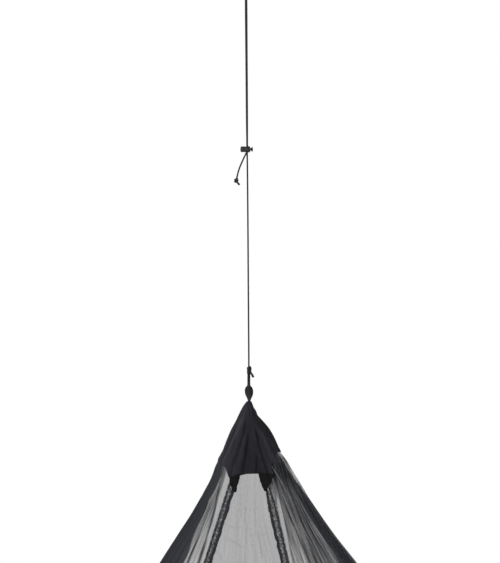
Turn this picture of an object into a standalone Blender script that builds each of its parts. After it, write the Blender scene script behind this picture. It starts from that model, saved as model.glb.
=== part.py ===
"""A mosquito net canopy that hangs from one cord: a solid cloth cap over a wide pyramid of fine net.

Metres, +Z up. The origin is where the hanging loop bears on its hook. X runs along the long side of the net, and
the door side faces -Y. The cord leans a little, so everything below it hangs about a slightly shifted axis.
"""

import math

import bmesh
import bpy
from mathutils import Vector

# Cord: one length, from the lower knot up through the lock, over the hook and back down to its free tail.
CORD_RADIUS = 0.00125
CORD_LEAN = 0.0075  # sideways drift for each metre of drop
STRAND_OFFSET = 0.00145  # half the distance between two strands side by side
SEAT_GAP = 0.0003

# Cord lock, along X, with its measures from the cord's axis.
LOCK_HEIGHT = -0.3486
LOCK_FLATTENING = 1.15  # its section is wider in Y than it is high
LOCK_SEGMENTS = 24
SLOT_HALF_LENGTH = 0.00155
SLOT_HALF_WIDTH = 0.0032
PLUNGER_TRAVEL = 0.002

# Lower knot, eye and tape loop.
KNOT_TOP = -0.7820
KNOT_BOTTOM = -0.7980
EYE_BOTTOM = -0.8240  # centreline of the cord where the tape hangs in it
EYE_TURN = math.radians(20)  # the eye and the tape are turned a little from the door side
EYE_RADIUS = 0.00295
TAPE_THICKNESS = 0.0012
TAPE_FOLD_RADIUS = 0.00275
TAPE_NECK = 0.0013  # half width where the tape goes through the eye

# Tail knot.
TAIL_KNOT = Vector((-0.0200, -0.0040, -0.4112))
TAIL_KNOT_SIZE = Vector((0.0040, 0.0036, 0.0046))

# Net and cap.
APEX = Vector((0.0067, 0.0, -0.8505))
NET_DROP = 1.4995  # from the tip of the cap to the bottom hem
NET_THICKNESS = 0.0012
CAP_THICKNESS = 0.0012
CAP_STANDOFF = 0.0022  # level distance from the cap's middle surface to the net tucked under it
CAP_MOUTH = 0.0022  # drop at which the cloth opens around the tape
NET_TUCK = 0.011  # how far the net reaches up inside the cap
RELEASE = 0.040  # drop over which the net leaves the cap's folds for its own pleats
CORNER_MARGIN = 0.00075  # each net piece stops this far short of the corner line
DOOR_LAP = 0.015
DOOR_FLAT = 0.018  # width along a door edge that has no pleats
DOOR_STANDOFF = 0.0021
PATCH_STANDOFF = 0.0021
PATCH_THICKNESS = 0.0012

# The hung shape, a row for each level: drop, reach of the left end, of the right end and of each long side,
# and how much of these reaches the corners keep (1 is a sharp rectangle, 0.71 a round).
OUTLINE = (
    # drop,  left,   right,  depth,  corner
    (0.0000, 0.0029, 0.0030, 0.0028, 0.71),
    (0.0022, 0.0043, 0.0034, 0.0038, 0.71),
    (0.0050, 0.0063, 0.0043, 0.0055, 0.71),
    (0.0094, 0.0097, 0.0060, 0.0084, 0.71),
    (0.0194, 0.0154, 0.0116, 0.0142, 0.72),
    (0.0294, 0.0204, 0.0168, 0.0184, 0.73),
    (0.0394, 0.0254, 0.0242, 0.0222, 0.75),
    (0.0594, 0.0352, 0.0398, 0.0300, 0.79),
    (0.0794, 0.0438, 0.0508, 0.0370, 0.84),
    (0.0994, 0.0516, 0.0596, 0.0435, 0.89),
    (0.1214, 0.0606, 0.0738, 0.0508, 0.93),
    (0.1554, 0.0680, 0.0906, 0.0620, 0.97),
    (0.1894, 0.0822, 0.1084, 0.0740, 0.99),
    (0.2294, 0.1010, 0.1320, 0.0890, 1.00),
    (0.2694, 0.1246, 0.1584, 0.1040, 1.00),
    (0.3220, 0.1554, 0.1974, 0.1240, 1.00),
    (0.8000, 0.4200, 0.5100, 0.3070, 1.00),
    (1.4995, 0.8400, 0.9900, 0.5750, 1.00),
)

# Where the cap's hem runs: the perimeter counts 0 to 4 from the front left corner, one for each side.
CAP_HEM = (
    # perimeter, drop
    (0.00, 0.127),
    (0.04, 0.132),
    (0.11, 0.153),
    (0.25, 0.147),
    (0.45, 0.144),
    (0.66, 0.141),
    (0.74, 0.126),
    (0.84, 0.112),
    (1.00, 0.101),
    (1.50, 0.104),
    (2.00, 0.108),
    (2.50, 0.114),
    (3.00, 0.123),
    (3.50, 0.125),
    (4.00, 0.127),
)

# The two hemmed edges of the door, as positions in X from the net's axis.
DOOR_EDGES = (
    # drop,  left,    right
    (0.1000, -0.0114, 0.0091),
    (0.1894, -0.0454, 0.0224),
    (0.3220, -0.0972, 0.0448),
    (1.4995, -0.5550, 0.2600),
)

# Soft folds of the cap: how many go round it, their share of the depth, and where they start.
CAP_FOLDS = (
    # count, depth,  start
    (7, 0.0011, 0.4),
    (11, 0.0008, 1.9),
    (3, 0.0012, 2.6),
)

# Pleats of the net, which radiate from the cap, a row for each piece. Its last column says which edges lie in a lap
# at the door, and stay flat there.
NET_PLEATS = {
    # piece:          (count, depth, start, laps)
    "net_front_left": (4, 0.0060, 0.10, (0, 1)),
    "net_front_right": (9, 0.0060, 0.35, (1, 0)),
    "net_end_right": (7, 0.0055, 0.20, (0, 0)),
    "net_back": (12, 0.0060, 0.60, (0, 0)),
    "net_end_left": (7, 0.0055, 0.75, (0, 0)),
    "net_door": (3, 0.0012, 0.30, (1, 1)),
}
COLUMNS_PER_PLEAT = 4
PLEAT_DEPTHS = (
    # drop,  share of the full depth
    (0.100, 0.10),
    (0.160, 0.25),
    (0.210, 0.55),
    (0.322, 1.00),
    (0.800, 1.90),
    (1.440, 2.20),
    (1.4995, 2.30),
)
NET_ROWS = (0.0, 0.008, 0.020, 0.045, 0.09, 0.145, 0.28, 0.50, 0.75, 1.0)
CAP_ROWS = (0.0, 0.05, 0.13, 0.27, 0.42, 0.58, 0.74, 0.90, 1.0)
CAP_COLUMNS = (24, 14, 16, 14)  # front, right end, back, left end

# The patches' edges, as positions in X from the net's axis, from the cap's hem to the tip.
PATCHES = {
    "patch_left": (
        # below hem, left, right
        (0.0008, -0.0474, -0.0266),
        (0.0120, -0.0462, -0.0285),
        (0.0220, -0.0440, -0.0318),
        (0.0310, -0.0385, -0.0348),
    ),
    "patch_right": (
        (0.0008, 0.0110, 0.0392),
        (0.0120, 0.0122, 0.0345),
        (0.0220, 0.0156, 0.0272),
        (0.0330, 0.0200, 0.0240),
    ),
}
PATCH_COLUMNS = 6

# Half of the tape loop, from the eye down into the cap.
TAPE_LEG = (
    # height, half width, half spread, twist
    (-0.8240, 0.0052, 0.00275, 0),
    (-0.8265, 0.0066, 0.00262, 0),
    (-0.8300, 0.0077, 0.00245, 2),
    (-0.8340, 0.0079, 0.00215, 6),
    (-0.8385, 0.0074, 0.00175, 12),
    (-0.8430, 0.0058, 0.00135, 20),
    (-0.8480, 0.0036, 0.00105, 30),
    (-0.8520, 0.0021, 0.00085, 40),
    (-0.8560, 0.0016, 0.00080, 50),
)

# The cord's route, from the lower knot: sideways from the leaning axis, forwards or back, height, and the
# number of straight steps to the next point.
CORD_ROUTE = (
    # side,     depth,    height,   steps
    (0.00000, 0.00000, KNOT_TOP + SEAT_GAP, 1),
    (0.00020, 0.00010, -0.7700, 4),
    (0.00030, 0.00060, -0.6400, 4),
    (0.00050, 0.00110, -0.5000, 4),
    (0.00040, 0.00142, -0.3900, 2),
    (0.00015, 0.00145, -0.3600, 1),
    (0.00000, 0.00145, -0.3480, 1),
    (-0.00005, 0.00145, -0.3380, 2),
    (-0.00040, 0.00140, -0.2900, 4),
    (-0.00060, 0.00132, -0.1700, 4),
    (-0.00085, 0.00120, -0.0650, 2),
    (-0.00070, 0.00160, -0.0450, 3),
    (-0.00040, 0.00300, -0.0310, 3),
    (-0.00020, 0.00510, -0.0165, 3),
    (-0.00010, 0.00600, -0.0065, 3),
    (0.00000, 0.00430, -0.0006, 2),
    (0.00000, 0.00000, 0.00125, 2),
    (0.00000, -0.00430, -0.0006, 3),
    (0.00010, -0.00600, -0.0065, 3),
    (0.00020, -0.00510, -0.0165, 3),
    (0.00040, -0.00300, -0.0310, 3),
    (0.00070, -0.00160, -0.0450, 2),
    (0.00085, -0.00120, -0.0650, 4),
    (0.00060, -0.00132, -0.1700, 4),
    (0.00040, -0.00140, -0.2900, 2),
    (0.00005, -0.00145, -0.3380, 1),
    (0.00000, -0.00145, -0.3480, 1),
    (-0.00020, -0.00148, -0.3555, 3),
    (-0.00520, -0.00200, -0.3630, 3),
    (-0.01120, -0.00280, -0.3744, 3),
    (-0.01730, -0.00350, -0.3888, 2),
    (-0.02070, -0.00385, -0.4004, 1),
    (-0.02200, -0.00400, -0.4063, 1),
)


def axis_x(height):
    """Where the leaning cord's axis is at a height."""
    return -height * CORD_LEAN


def between(table, value):
    """The rest of a table's row at a value of its first column, on straight lines between the rows."""
    value = min(max(value, table[0][0]), table[-1][0])
    for low, high in zip(table, table[1:]):
        if value <= high[0]:
            share = (value - low[0]) / (high[0] - low[0])
            return tuple(a + (b - a) * share for a, b in zip(low[1:], high[1:]))
    return table[-1][1:]


def eased(share):
    """0 to 1 with soft ends."""
    share = min(max(share, 0.0), 1.0)
    return share * share * (3.0 - 2.0 * share)


def smooth_path(points, steps):
    """Points along a smooth curve through the route's own points."""
    ends = [points[0] * 2 - points[1]] + list(points) + [points[-1] * 2 - points[-2]]
    path = []
    for i, count in enumerate(steps[:-1]):
        before, start, end, after = ends[i : i + 4]
        span = (end - start).length
        leave = (end - before) / max((end - before).length, 1e-9) * span
        arrive = (after - start) / max((after - start).length, 1e-9) * span
        for k in range(count):
            t = k / count
            t2, t3 = t * t, t * t * t
            path.append(
                start * (2 * t3 - 3 * t2 + 1)
                + leave * (t3 - 2 * t2 + t)
                + end * (3 * t2 - 2 * t3)
                + arrive * (t3 - t2)
            )
    path.append(points[-1].copy())
    return path


def make_material(name, colour, roughness):
    material = bpy.data.materials.new(name)
    material.use_nodes = True
    shader = material.node_tree.nodes["Principled BSDF"]
    shader.inputs["Base Color"].default_value = (*colour, 1.0)
    shader.inputs["Roughness"].default_value = roughness
    shader.inputs["Metallic"].default_value = 0.0
    material.diffuse_color = (*colour, 1.0)
    return material


def clear_scene():
    for obj in list(bpy.data.objects):
        bpy.data.objects.remove(obj, do_unlink=True)


def make_collection(name, hidden=False):
    collection = bpy.data.collections.new(name)
    collection.hide_render = hidden
    bpy.context.scene.collection.children.link(collection)
    return collection


def place(name, data, collection, material=None):
    obj = bpy.data.objects.new(name, data)
    collection.objects.link(obj)
    if material is not None:
        obj.data.materials.append(material)
    return obj


def make_sheet(name, columns, rows, point, thickness, collection, material, closed=False):
    """A grid whose points follow point(column, row), thickened to both sides of its surface."""
    mesh = bmesh.new()
    bmesh.ops.create_grid(mesh, x_segments=columns, y_segments=rows, size=0.5)
    for vert in mesh.verts:
        column = round((vert.co.x + 0.5) * columns)
        row = round((vert.co.y + 0.5) * rows)
        vert.co = point(column, row)
    if closed:
        bmesh.ops.remove_doubles(mesh, verts=mesh.verts, dist=1e-6)
    data = bpy.data.meshes.new(name)
    mesh.to_mesh(data)
    mesh.free()
    data.shade_smooth()
    obj = place(name, data, collection, material)
    solidify = obj.modifiers.new("Thickness", "SOLIDIFY")
    solidify.thickness = thickness
    solidify.offset = 0.0
    return obj


def make_tube(name, points, radius, collection, material=None):
    curve = bpy.data.curves.new(name, "CURVE")
    curve.dimensions = "3D"
    curve.bevel_depth = radius
    curve.bevel_resolution = 2
    curve.use_fill_caps = True
    spline = curve.splines.new("POLY")
    spline.points.add(len(points) - 1)
    for target, point in zip(spline.points, points):
        target.co = (*point, 1.0)
    return place(name, curve, collection, material)


def curve_to_mesh(obj):
    """The curve's own solid as a mesh object, with its caps welded."""
    graph = bpy.context.evaluated_depsgraph_get()
    data = bpy.data.meshes.new_from_object(obj.evaluated_get(graph))
    mesh = bmesh.new()
    mesh.from_mesh(data)
    bmesh.ops.remove_doubles(mesh, verts=mesh.verts, dist=1e-6)
    bmesh.ops.recalc_face_normals(mesh, faces=mesh.faces)
    mesh.to_mesh(data)
    mesh.free()
    solid = bpy.data.objects.new(obj.name + "_solid", data)
    solid.matrix_world = obj.matrix_world
    for collection in obj.users_collection:
        collection.objects.link(solid)
    bpy.data.objects.remove(obj, do_unlink=True)
    return solid


def combine(obj, other, operation):
    boolean = obj.modifiers.new(operation.title(), "BOOLEAN")
    boolean.operation = operation
    boolean.object = other
    other.hide_render = True
    other.display_type = "WIRE"


def make_knot(name, centre, size, collection, material, lobes):
    """A drawn-tight knot as one lumpy solid."""
    mesh = bmesh.new()
    bmesh.ops.create_uvsphere(mesh, u_segments=18, v_segments=12, radius=1.0)
    for vert in mesh.verts:
        turn = math.atan2(vert.co.y, vert.co.x)
        lump = 1.0 + 0.10 * math.sin(lobes * turn + 2.5 * vert.co.z) * math.hypot(vert.co.x, vert.co.y)
        vert.co = centre + Vector(a * b * lump for a, b in zip(vert.co, size))
    data = bpy.data.meshes.new(name)
    mesh.to_mesh(data)
    mesh.free()
    data.shade_smooth()
    return place(name, data, collection, material)


# ---- The hung surface


def outline(drop, inset=0.0):
    """Reaches to the left, right and long sides at a drop, and the corners' share of them."""
    left, right, depth, corner = between(OUTLINE, drop)
    return left - inset, right - inset, depth - inset, corner


def cap_hem(perimeter):
    return between(CAP_HEM, perimeter % 4.0)[0]


def base_point(perimeter, drop, inset):
    """A point of the hung shape without its folds, and the side's outward direction."""
    left, right, depth, corner = outline(drop, inset)
    side = int(perimeter) % 4
    share = perimeter - int(perimeter)
    corners = ((-left, -depth), (right, -depth), (right, depth), (-left, depth))
    outwards = ((0, -1), (1, 0), (0, 1), (-1, 0))[side]
    reach = (depth, right, depth, left)[side]
    start, end = corners[side], corners[(side + 1) % 4]
    bow = reach * (1.0 - corner) * (1.0 - (2.0 * share - 1.0) ** 2)
    x = (start[0] + (end[0] - start[0]) * share) * corner + outwards[0] * bow
    y = (start[1] + (end[1] - start[1]) * share) * corner + outwards[1] * bow
    return Vector((x, y, -drop)), Vector((*outwards, 0.0))


def cap_fold(perimeter, drop):
    """Depth of the cap's soft folds, growing from nothing at its tip."""
    grown = eased(drop / 0.13)
    return grown * sum(
        depth * math.sin(math.tau * count * perimeter / 4.0 + start) for count, depth, start in CAP_FOLDS
    )


def pleat(name, share, width):
    """Uneven pleats across a net piece, flat at its edges and over the laps at the door."""
    count, _, start, laps = NET_PLEATS[name]
    drift = 0.35 * math.sin(math.tau * 1.7 * share + 5.0 * start) / count
    wave = math.sin(math.tau * (count * (share + drift) + start))
    swell = 1.0 + 0.3 * math.sin(math.tau * 2.3 * share + 9.0 * start)
    fade = 0.6 * width / count
    first = eased((share * width - laps[0] * DOOR_FLAT) / fade)
    last = eased(((1.0 - share) * width - laps[1] * DOOR_FLAT) / fade)
    return wave * swell * first * last


def net_point(name, limits, share, drop, inwards=0.0):
    """A point of a net piece: held to the cap's folds at the top, then on its own pleats."""
    first, last = limits(drop)
    perimeter = first + (last - first) * share
    free = eased((drop - cap_hem(perimeter)) / RELEASE)
    inset = CAP_STANDOFF * (1.0 - free) + inwards
    point, outwards = base_point(perimeter, drop, inset)
    radial = Vector((point.x, point.y, 0.0)).normalized()
    depth = NET_PLEATS[name][1] * between(PLEAT_DEPTHS, drop)[0]
    width = (last - first) * side_length(perimeter, drop)
    point += radial * cap_fold(perimeter, drop) * (1.0 - free)
    point += outwards * pleat(name, share, width) * depth * free
    return APEX + point


def side_length(perimeter, drop):
    """Length of the straight line between the two corners of a side."""
    left, right, depth, corner = outline(drop)
    return ((left + right), 2 * depth)[int(perimeter) % 2] * corner


def front_perimeter(x, drop):
    left, right, _, corner = outline(drop)
    return (x + left * corner) / ((left + right) * corner)


def net_drops(perimeter):
    """The levels of a net piece's rows, from inside the cap to the bottom hem."""
    top = cap_hem(perimeter) - NET_TUCK
    return [top + (NET_DROP - top) * share for share in NET_ROWS]


def make_net_piece(name, limits, collection, material, inwards=0.0):
    """limits(drop) gives the piece's two edges as perimeter positions."""
    columns = NET_PLEATS[name][0] * COLUMNS_PER_PLEAT
    rows = len(NET_ROWS) - 1

    def point(column, row):
        share = column / columns
        first, last = limits(0.15)
        drop = net_drops(first + (last - first) * share)[row]
        return net_point(name, limits, share, drop, inwards)

    return make_sheet(name, columns, rows, point, NET_THICKNESS, collection, material)


def side_limits(side):
    """A whole side between its two corner lines."""

    def limits(drop):
        margin = CORNER_MARGIN / side_length(side, drop)
        return side + margin, side + 1 - margin

    return limits


def left_wing(drop):
    return side_limits(0)(drop)[0], front_perimeter(between(DOOR_EDGES, drop)[0], drop)


def right_wing(drop):
    return front_perimeter(between(DOOR_EDGES, drop)[1], drop), side_limits(0)(drop)[1]


def door(drop):
    left, right = between(DOOR_EDGES, drop)
    return front_perimeter(left - DOOR_LAP, drop), front_perimeter(right + DOOR_LAP, drop)


def whole_front(x):
    """Limits that put a piece's first edge at a position in X from the net's axis."""
    return lambda drop: (front_perimeter(x, drop), 1.0)


def make_net(collection):
    material = make_material("black_net", (0.030, 0.032, 0.036), 0.9)
    make_net_piece("net_front_left", left_wing, collection, material)
    make_net_piece("net_front_right", right_wing, collection, material)
    make_net_piece("net_end_right", side_limits(1), collection, material)
    make_net_piece("net_back", side_limits(2), collection, material)
    make_net_piece("net_end_left", side_limits(3), collection, material)
    make_net_piece("net_door", door, collection, material, inwards=DOOR_STANDOFF)


def make_cap(collection):
    material = make_material("black_cloth", (0.018, 0.017, 0.020), 0.85)
    columns = sum(CAP_COLUMNS)
    places = [side + k / count for side, count in enumerate(CAP_COLUMNS) for k in range(count)] + [4.0]

    def point(column, row):
        perimeter = places[column % columns]
        hem = cap_hem(perimeter)
        drop = CAP_MOUTH + (hem - CAP_MOUTH) * CAP_ROWS[row]
        found, _ = base_point(perimeter, drop, 0.0)
        radial = Vector((found.x, found.y, 0.0)).normalized()
        return APEX + found + radial * cap_fold(perimeter, drop)

    make_sheet("cap", columns, len(CAP_ROWS) - 1, point, CAP_THICKNESS, collection, material, closed=True)


def make_patches(collection):
    material = make_material("patch_cloth", (0.010, 0.010, 0.012), 0.9)
    for name, rows in PATCHES.items():

        def point(column, row, rows=rows):
            below, left, right = rows[row]
            x = left + (right - left) * column / PATCH_COLUMNS
            drop = cap_hem(front_perimeter(x, 0.15)) + below
            return net_point("net_door", whole_front(x), 0.0, drop, -PATCH_STANDOFF)

        make_sheet(name, PATCH_COLUMNS, len(rows) - 1, point, PATCH_THICKNESS, collection, material)


def eye_directions():
    """Along the eye's bar, and across it, towards the front leg of the tape."""
    along = Vector((math.cos(EYE_TURN), math.sin(EYE_TURN), 0.0))
    return along, Vector((math.sin(EYE_TURN), -math.cos(EYE_TURN), 0.0))


def make_tape(collection):
    """The tape rises in front, folds over the eye's bar and goes down behind, and both legs twist together."""
    material = make_material("black_tape", (0.016, 0.016, 0.018), 0.75)
    along, across = eye_directions()
    fold_steps = 6
    leg = list(reversed(TAPE_LEG))
    stations = [(height, width, spread, math.radians(twist), 1) for height, width, spread, twist in leg]
    for k in range(1, fold_steps):
        turn = math.pi * k / fold_steps
        height = EYE_BOTTOM + TAPE_FOLD_RADIUS * math.sin(turn)
        width = TAPE_LEG[0][1] + (TAPE_NECK - TAPE_LEG[0][1]) * math.sin(turn) ** 0.8
        stations.append((height, width, TAPE_FOLD_RADIUS * math.cos(turn), 0.0, 1))
    stations += [(height, width, spread, math.radians(twist), -1) for height, width, spread, twist in TAPE_LEG]
    columns = 6

    def point(column, row):
        height, width, spread, twist, side = stations[row]
        sideways = width * (2.0 * column / columns - 1.0)
        wide = along * math.cos(twist) + across * math.sin(twist)
        deep = across * math.cos(twist) - along * math.sin(twist)
        centre = Vector((axis_x(KNOT_BOTTOM), 0.0, height)).lerp(
            Vector((APEX.x, APEX.y, height)), eased((EYE_BOTTOM - height) / 0.02)
        )
        return centre + wide * sideways + deep * spread * side

    make_sheet("tape_loop", columns, len(stations) - 1, point, TAPE_THICKNESS, collection, material)


def make_cord(collection, cutters):
    material = make_material("black_cord", (0.040, 0.040, 0.042), 0.7)
    route = [Vector((axis_x(height) + side, depth, height)) for side, depth, height, _ in CORD_ROUTE]
    path = smooth_path(route, [row[3] for row in CORD_ROUTE])
    make_tube("cord_run", path, CORD_RADIUS, collection, material)

    # Lower knot, with the eye for the tape and its stub.
    along, _ = eye_directions()
    middle = Vector((axis_x(KNOT_TOP), 0.0, (KNOT_TOP + KNOT_BOTTOM) / 2))
    size = Vector((0.0043, 0.0040, (KNOT_TOP - KNOT_BOTTOM) / 2))
    knot = make_knot("cord_eye_knot", middle, size, collection, material, lobes=2)
    bar = Vector((middle.x, 0.0, EYE_BOTTOM))
    half = [
        (STRAND_OFFSET, 0.0270),
        (STRAND_OFFSET, 0.0170),
        (0.0016, 0.0110),
        (0.00175, 0.0078),
        (0.00225, 0.0050),
        (EYE_RADIUS, 0.0030),
        (EYE_RADIUS, 0.0014),
        (EYE_RADIUS * 0.60, 0.0002),
    ]
    side_a = [bar + along * spread + Vector((0, 0, rise)) for spread, rise in half]
    side_b = [bar - along * spread + Vector((0, 0, rise)) for spread, rise in reversed(half)]
    eye_route = side_a + [bar] + side_b
    eye = make_tube("eye", smooth_path(eye_route, [2] * len(eye_route)), CORD_RADIUS, cutters)
    stub_route = [
        middle + Vector((0.0020, -0.0015, -0.0030)),
        middle + Vector((0.0058, -0.0022, -0.0058)),
        middle + Vector((0.0108, -0.0026, -0.0130)),
    ]
    stub = make_tube("eye_stub", smooth_path(stub_route, [3, 3, 3]), CORD_RADIUS, cutters)
    for piece in (eye, stub):
        combine(knot, curve_to_mesh(piece), "UNION")

    # Tail knot and its stub.
    knot = make_knot("cord_end_knot", TAIL_KNOT, TAIL_KNOT_SIZE, collection, material, lobes=3)
    stub_route = [
        TAIL_KNOT + Vector((0.0004, 0.0, -0.0015)),
        TAIL_KNOT + Vector((0.0028, -0.0004, -0.0048)),
        TAIL_KNOT + Vector((0.0062, -0.0008, -0.0086)),
    ]
    stub = make_tube("tail_stub", smooth_path(stub_route, [3, 3, 3]), CORD_RADIUS, cutters)
    combine(knot, curve_to_mesh(stub), "UNION")


def make_turned(name, profile, collection, material):
    """A turned solid about its own X: the profile is (radius, distance along X), run down its outer side."""
    mesh = bmesh.new()
    verts = [mesh.verts.new((radius, 0.0, along)) for radius, along in profile]
    for first, second in zip(verts, verts[1:]):
        mesh.edges.new((first, second))
    data = bpy.data.meshes.new(name)
    mesh.to_mesh(data)
    mesh.free()
    obj = place(name, data, collection, material)
    obj.location = (axis_x(LOCK_HEIGHT), 0.0, LOCK_HEIGHT)
    obj.rotation_euler = (0.0, math.pi / 2, 0.0)
    obj.scale = (1.0, LOCK_FLATTENING, 1.0)
    screw = obj.modifiers.new("Turn", "SCREW")
    screw.axis = "Z"
    screw.steps = LOCK_SEGMENTS
    screw.render_steps = LOCK_SEGMENTS
    screw.use_merge_vertices = True
    screw.merge_threshold = 0.00001
    return obj


def make_slot(name, low, high, cutters):
    """A cutter for the cords' slot, right through in Z, between two distances along X."""
    mesh = bmesh.new()
    bmesh.ops.create_cube(mesh, size=1.0)
    for vert in mesh.verts:
        x = low if vert.co.x < 0 else high
        vert.co = (x, math.copysign(SLOT_HALF_WIDTH, vert.co.y), math.copysign(0.008, vert.co.z))
    data = bpy.data.meshes.new(name)
    mesh.to_mesh(data)
    mesh.free()
    obj = place(name, data, cutters)
    obj.location = (axis_x(LOCK_HEIGHT), 0.0, LOCK_HEIGHT)
    return obj


def make_lock(collection, cutters):
    material = make_material("black_plastic", (0.022, 0.022, 0.024), 0.45)
    barrel = make_turned(
        "lock_barrel",
        (
            (0.0, -0.0090),
            (0.0047, -0.0090),
            (0.0047, 0.0050),
            (0.0029, 0.0050),
            (0.0029, 0.0068),
            (0.0037, 0.0068),
            (0.0046, 0.0063),
            (0.0055, 0.0053),
            (0.0061, 0.0038),
            (0.0063, 0.0018),
            (0.0062, -0.0008),
            (0.0058, -0.0015),
            (0.0059, -0.0020),
            (0.0059, -0.0122),
            (0.0056, -0.0128),
            (0.0050, -0.0130),
            (0.0, -0.0130),
        ),
        collection,
        material,
    )
    combine(barrel, make_slot("barrel_slot", -SLOT_HALF_LENGTH, SLOT_HALF_LENGTH, cutters), "DIFFERENCE")
    plunger = make_turned(
        "lock_plunger",
        (
            (0.0, 0.0117),
            (0.0046, 0.0117),
            (0.0050, 0.0114),
            (0.0050, 0.0111),
            (0.0033, 0.0102),
            (0.0025, 0.0094),
            (0.0022, 0.0084),
            (0.0022, 0.0046),
            (0.0043, 0.0046),
            (0.0043, -0.0044),
            (0.0, -0.0044),
        ),
        collection,
        material,
    )
    slot_end = SLOT_HALF_LENGTH + PLUNGER_TRAVEL
    combine(plunger, make_slot("plunger_slot", -SLOT_HALF_LENGTH, slot_end, cutters), "DIFFERENCE")


def main():
    clear_scene()
    parts = make_collection("mosquito_net_canopy")
    cutters = make_collection("cutters", hidden=True)
    make_cap(parts)
    make_net(parts)
    make_patches(parts)
    make_tape(parts)
    make_cord(parts, cutters)
    make_lock(parts, cutters)


main()
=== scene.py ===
import math

import bmesh
import bpy
import numpy as np
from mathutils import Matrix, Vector


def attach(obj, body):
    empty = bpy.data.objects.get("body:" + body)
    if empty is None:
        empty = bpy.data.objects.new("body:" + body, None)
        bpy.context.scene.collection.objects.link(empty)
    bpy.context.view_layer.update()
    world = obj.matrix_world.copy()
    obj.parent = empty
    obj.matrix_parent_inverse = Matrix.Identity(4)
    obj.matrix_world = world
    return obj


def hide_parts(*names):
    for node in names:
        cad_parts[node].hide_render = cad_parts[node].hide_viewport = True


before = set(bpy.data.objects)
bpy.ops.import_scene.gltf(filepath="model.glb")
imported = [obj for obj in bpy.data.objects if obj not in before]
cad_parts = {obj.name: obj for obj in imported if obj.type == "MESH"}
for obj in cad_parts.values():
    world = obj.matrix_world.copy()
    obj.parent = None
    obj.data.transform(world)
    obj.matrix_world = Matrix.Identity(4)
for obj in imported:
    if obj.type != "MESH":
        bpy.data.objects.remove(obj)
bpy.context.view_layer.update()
print("frame loaded")

# The camera stands a little to the left of the door side, level with the knot above the cap.
shot = {
    "target": (0.0083, 0.0, -0.613),
    "distance": 5.0,
    "azimuth": -9.0,
    "tall": 1.126,  # height of the picture at the object
    "sensor": 24.0,
}


def makeCamera():
    turn = math.radians(shot["azimuth"])
    data = bpy.data.cameras.new("doorSideCamera")
    data.sensor_fit = "VERTICAL"
    data.sensor_height = shot["sensor"]
    data.lens = shot["sensor"] * shot["distance"] / shot["tall"]
    camera = bpy.data.objects.new("doorSideCamera", data)
    bpy.context.scene.collection.objects.link(camera)
    away = Vector((math.sin(turn), -math.cos(turn), 0.0)) * shot["distance"]
    camera.location = Vector(shot["target"]) + away
    camera.rotation_euler = (math.pi / 2, 0.0, turn)
    bpy.context.scene.camera = camera


makeCamera()
print("camera placed")


# Shader maths: a wire is an output in a material's node tree.
class Wire:
    def __init__(self, tree, socket=None):
        self.tree = tree
        self.socket = socket

    def node(self, kind, settings=None, sockets=None, output=0):
        made = self.tree.nodes.new("ShaderNode" + kind)
        for name, value in (settings or {}).items():
            setattr(made, name, value)
        for name, value in (sockets or {}).items():
            if isinstance(value, Wire):
                self.tree.links.new(value.socket, made.inputs[name])
            else:
                made.inputs[name].default_value = value
        return Wire(self.tree, made.outputs[output])

    def sum(self, operation, first, second=0.0):
        return self.node("Math", {"operation": operation}, {0: first, 1: second})

    def __add__(self, other):
        return self.sum("ADD", self, other)

    def __radd__(self, other):
        return self.sum("ADD", other, self)

    def __sub__(self, other):
        return self.sum("SUBTRACT", self, other)

    def __rsub__(self, other):
        return self.sum("SUBTRACT", other, self)

    def __mul__(self, other):
        return self.sum("MULTIPLY", self, other)

    def __rmul__(self, other):
        return self.sum("MULTIPLY", other, self)

    def __rpow__(self, other):
        return self.sum("POWER", other, self)

    def wave(self, length):  # cosine along a measure in metres
        return self.sum("COSINE", self * (math.tau / length))

    def larger(self, other):
        return self.sum("MAXIMUM", self, other)

    def rise(self, low, high):  # 0 to 1 with soft ends
        settings = {"interpolation_type": "SMOOTHSTEP"}
        return self.node("MapRange", settings, {"Value": self, "From Min": low, "From Max": high})

    def blend(self, first, second):  # this wire chooses between two colours
        sockets = {"Factor": self, 6: (*first, 1.0), 7: (*second, 1.0)}
        return self.node("Mix", {"data_type": "RGBA"}, sockets, output=2)

    def attribute(self, name):  # a number marked at each point of the mesh
        return self.node("Attribute", {"attribute_name": name}, output=2)

    def noise(self, place, scale, detail=2.0):
        return self.node("TexNoise", None, {"Vector": place, "Scale": scale, "Detail": detail})


def newFinish(name, roughness, gloss):
    material = bpy.data.materials.new(name)
    material.use_nodes = True
    shader = material.node_tree.nodes["Principled BSDF"]
    shader.inputs["Roughness"].default_value = roughness
    shader.inputs["Specular IOR Level"].default_value = gloss
    return material, shader, Wire(material.node_tree)


def plug(shader, socket, wire):
    wire.tree.links.new(wire.socket, shader.inputs[socket])


def cutPlace(start):  # metres across and along the cloth, from the piece's own UV map
    place = start.node("UVMap", {"uv_map": "cut"})
    parts = place.node("SeparateXYZ", None, {"Vector": place})
    across = parts
    along = Wire(parts.tree, parts.socket.node.outputs[1])
    return place, across, along


def bump(wire, strength, distance):
    return wire.node("Bump", None, {"Strength": strength, "Distance": distance, "Height": wire})


# Smooth maths on numpy arrays.
def eased(share):
    share = np.clip(share, 0.0, 1.0)
    return share * share * (3.0 - 2.0 * share)


def fading(share):  # 1 to 0 with soft ends
    return 1.0 - eased(share)


def between(first, second, share):
    return first + (second - first) * share


def bell(off, width):
    return np.exp(-((off / width) ** 2))


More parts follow.
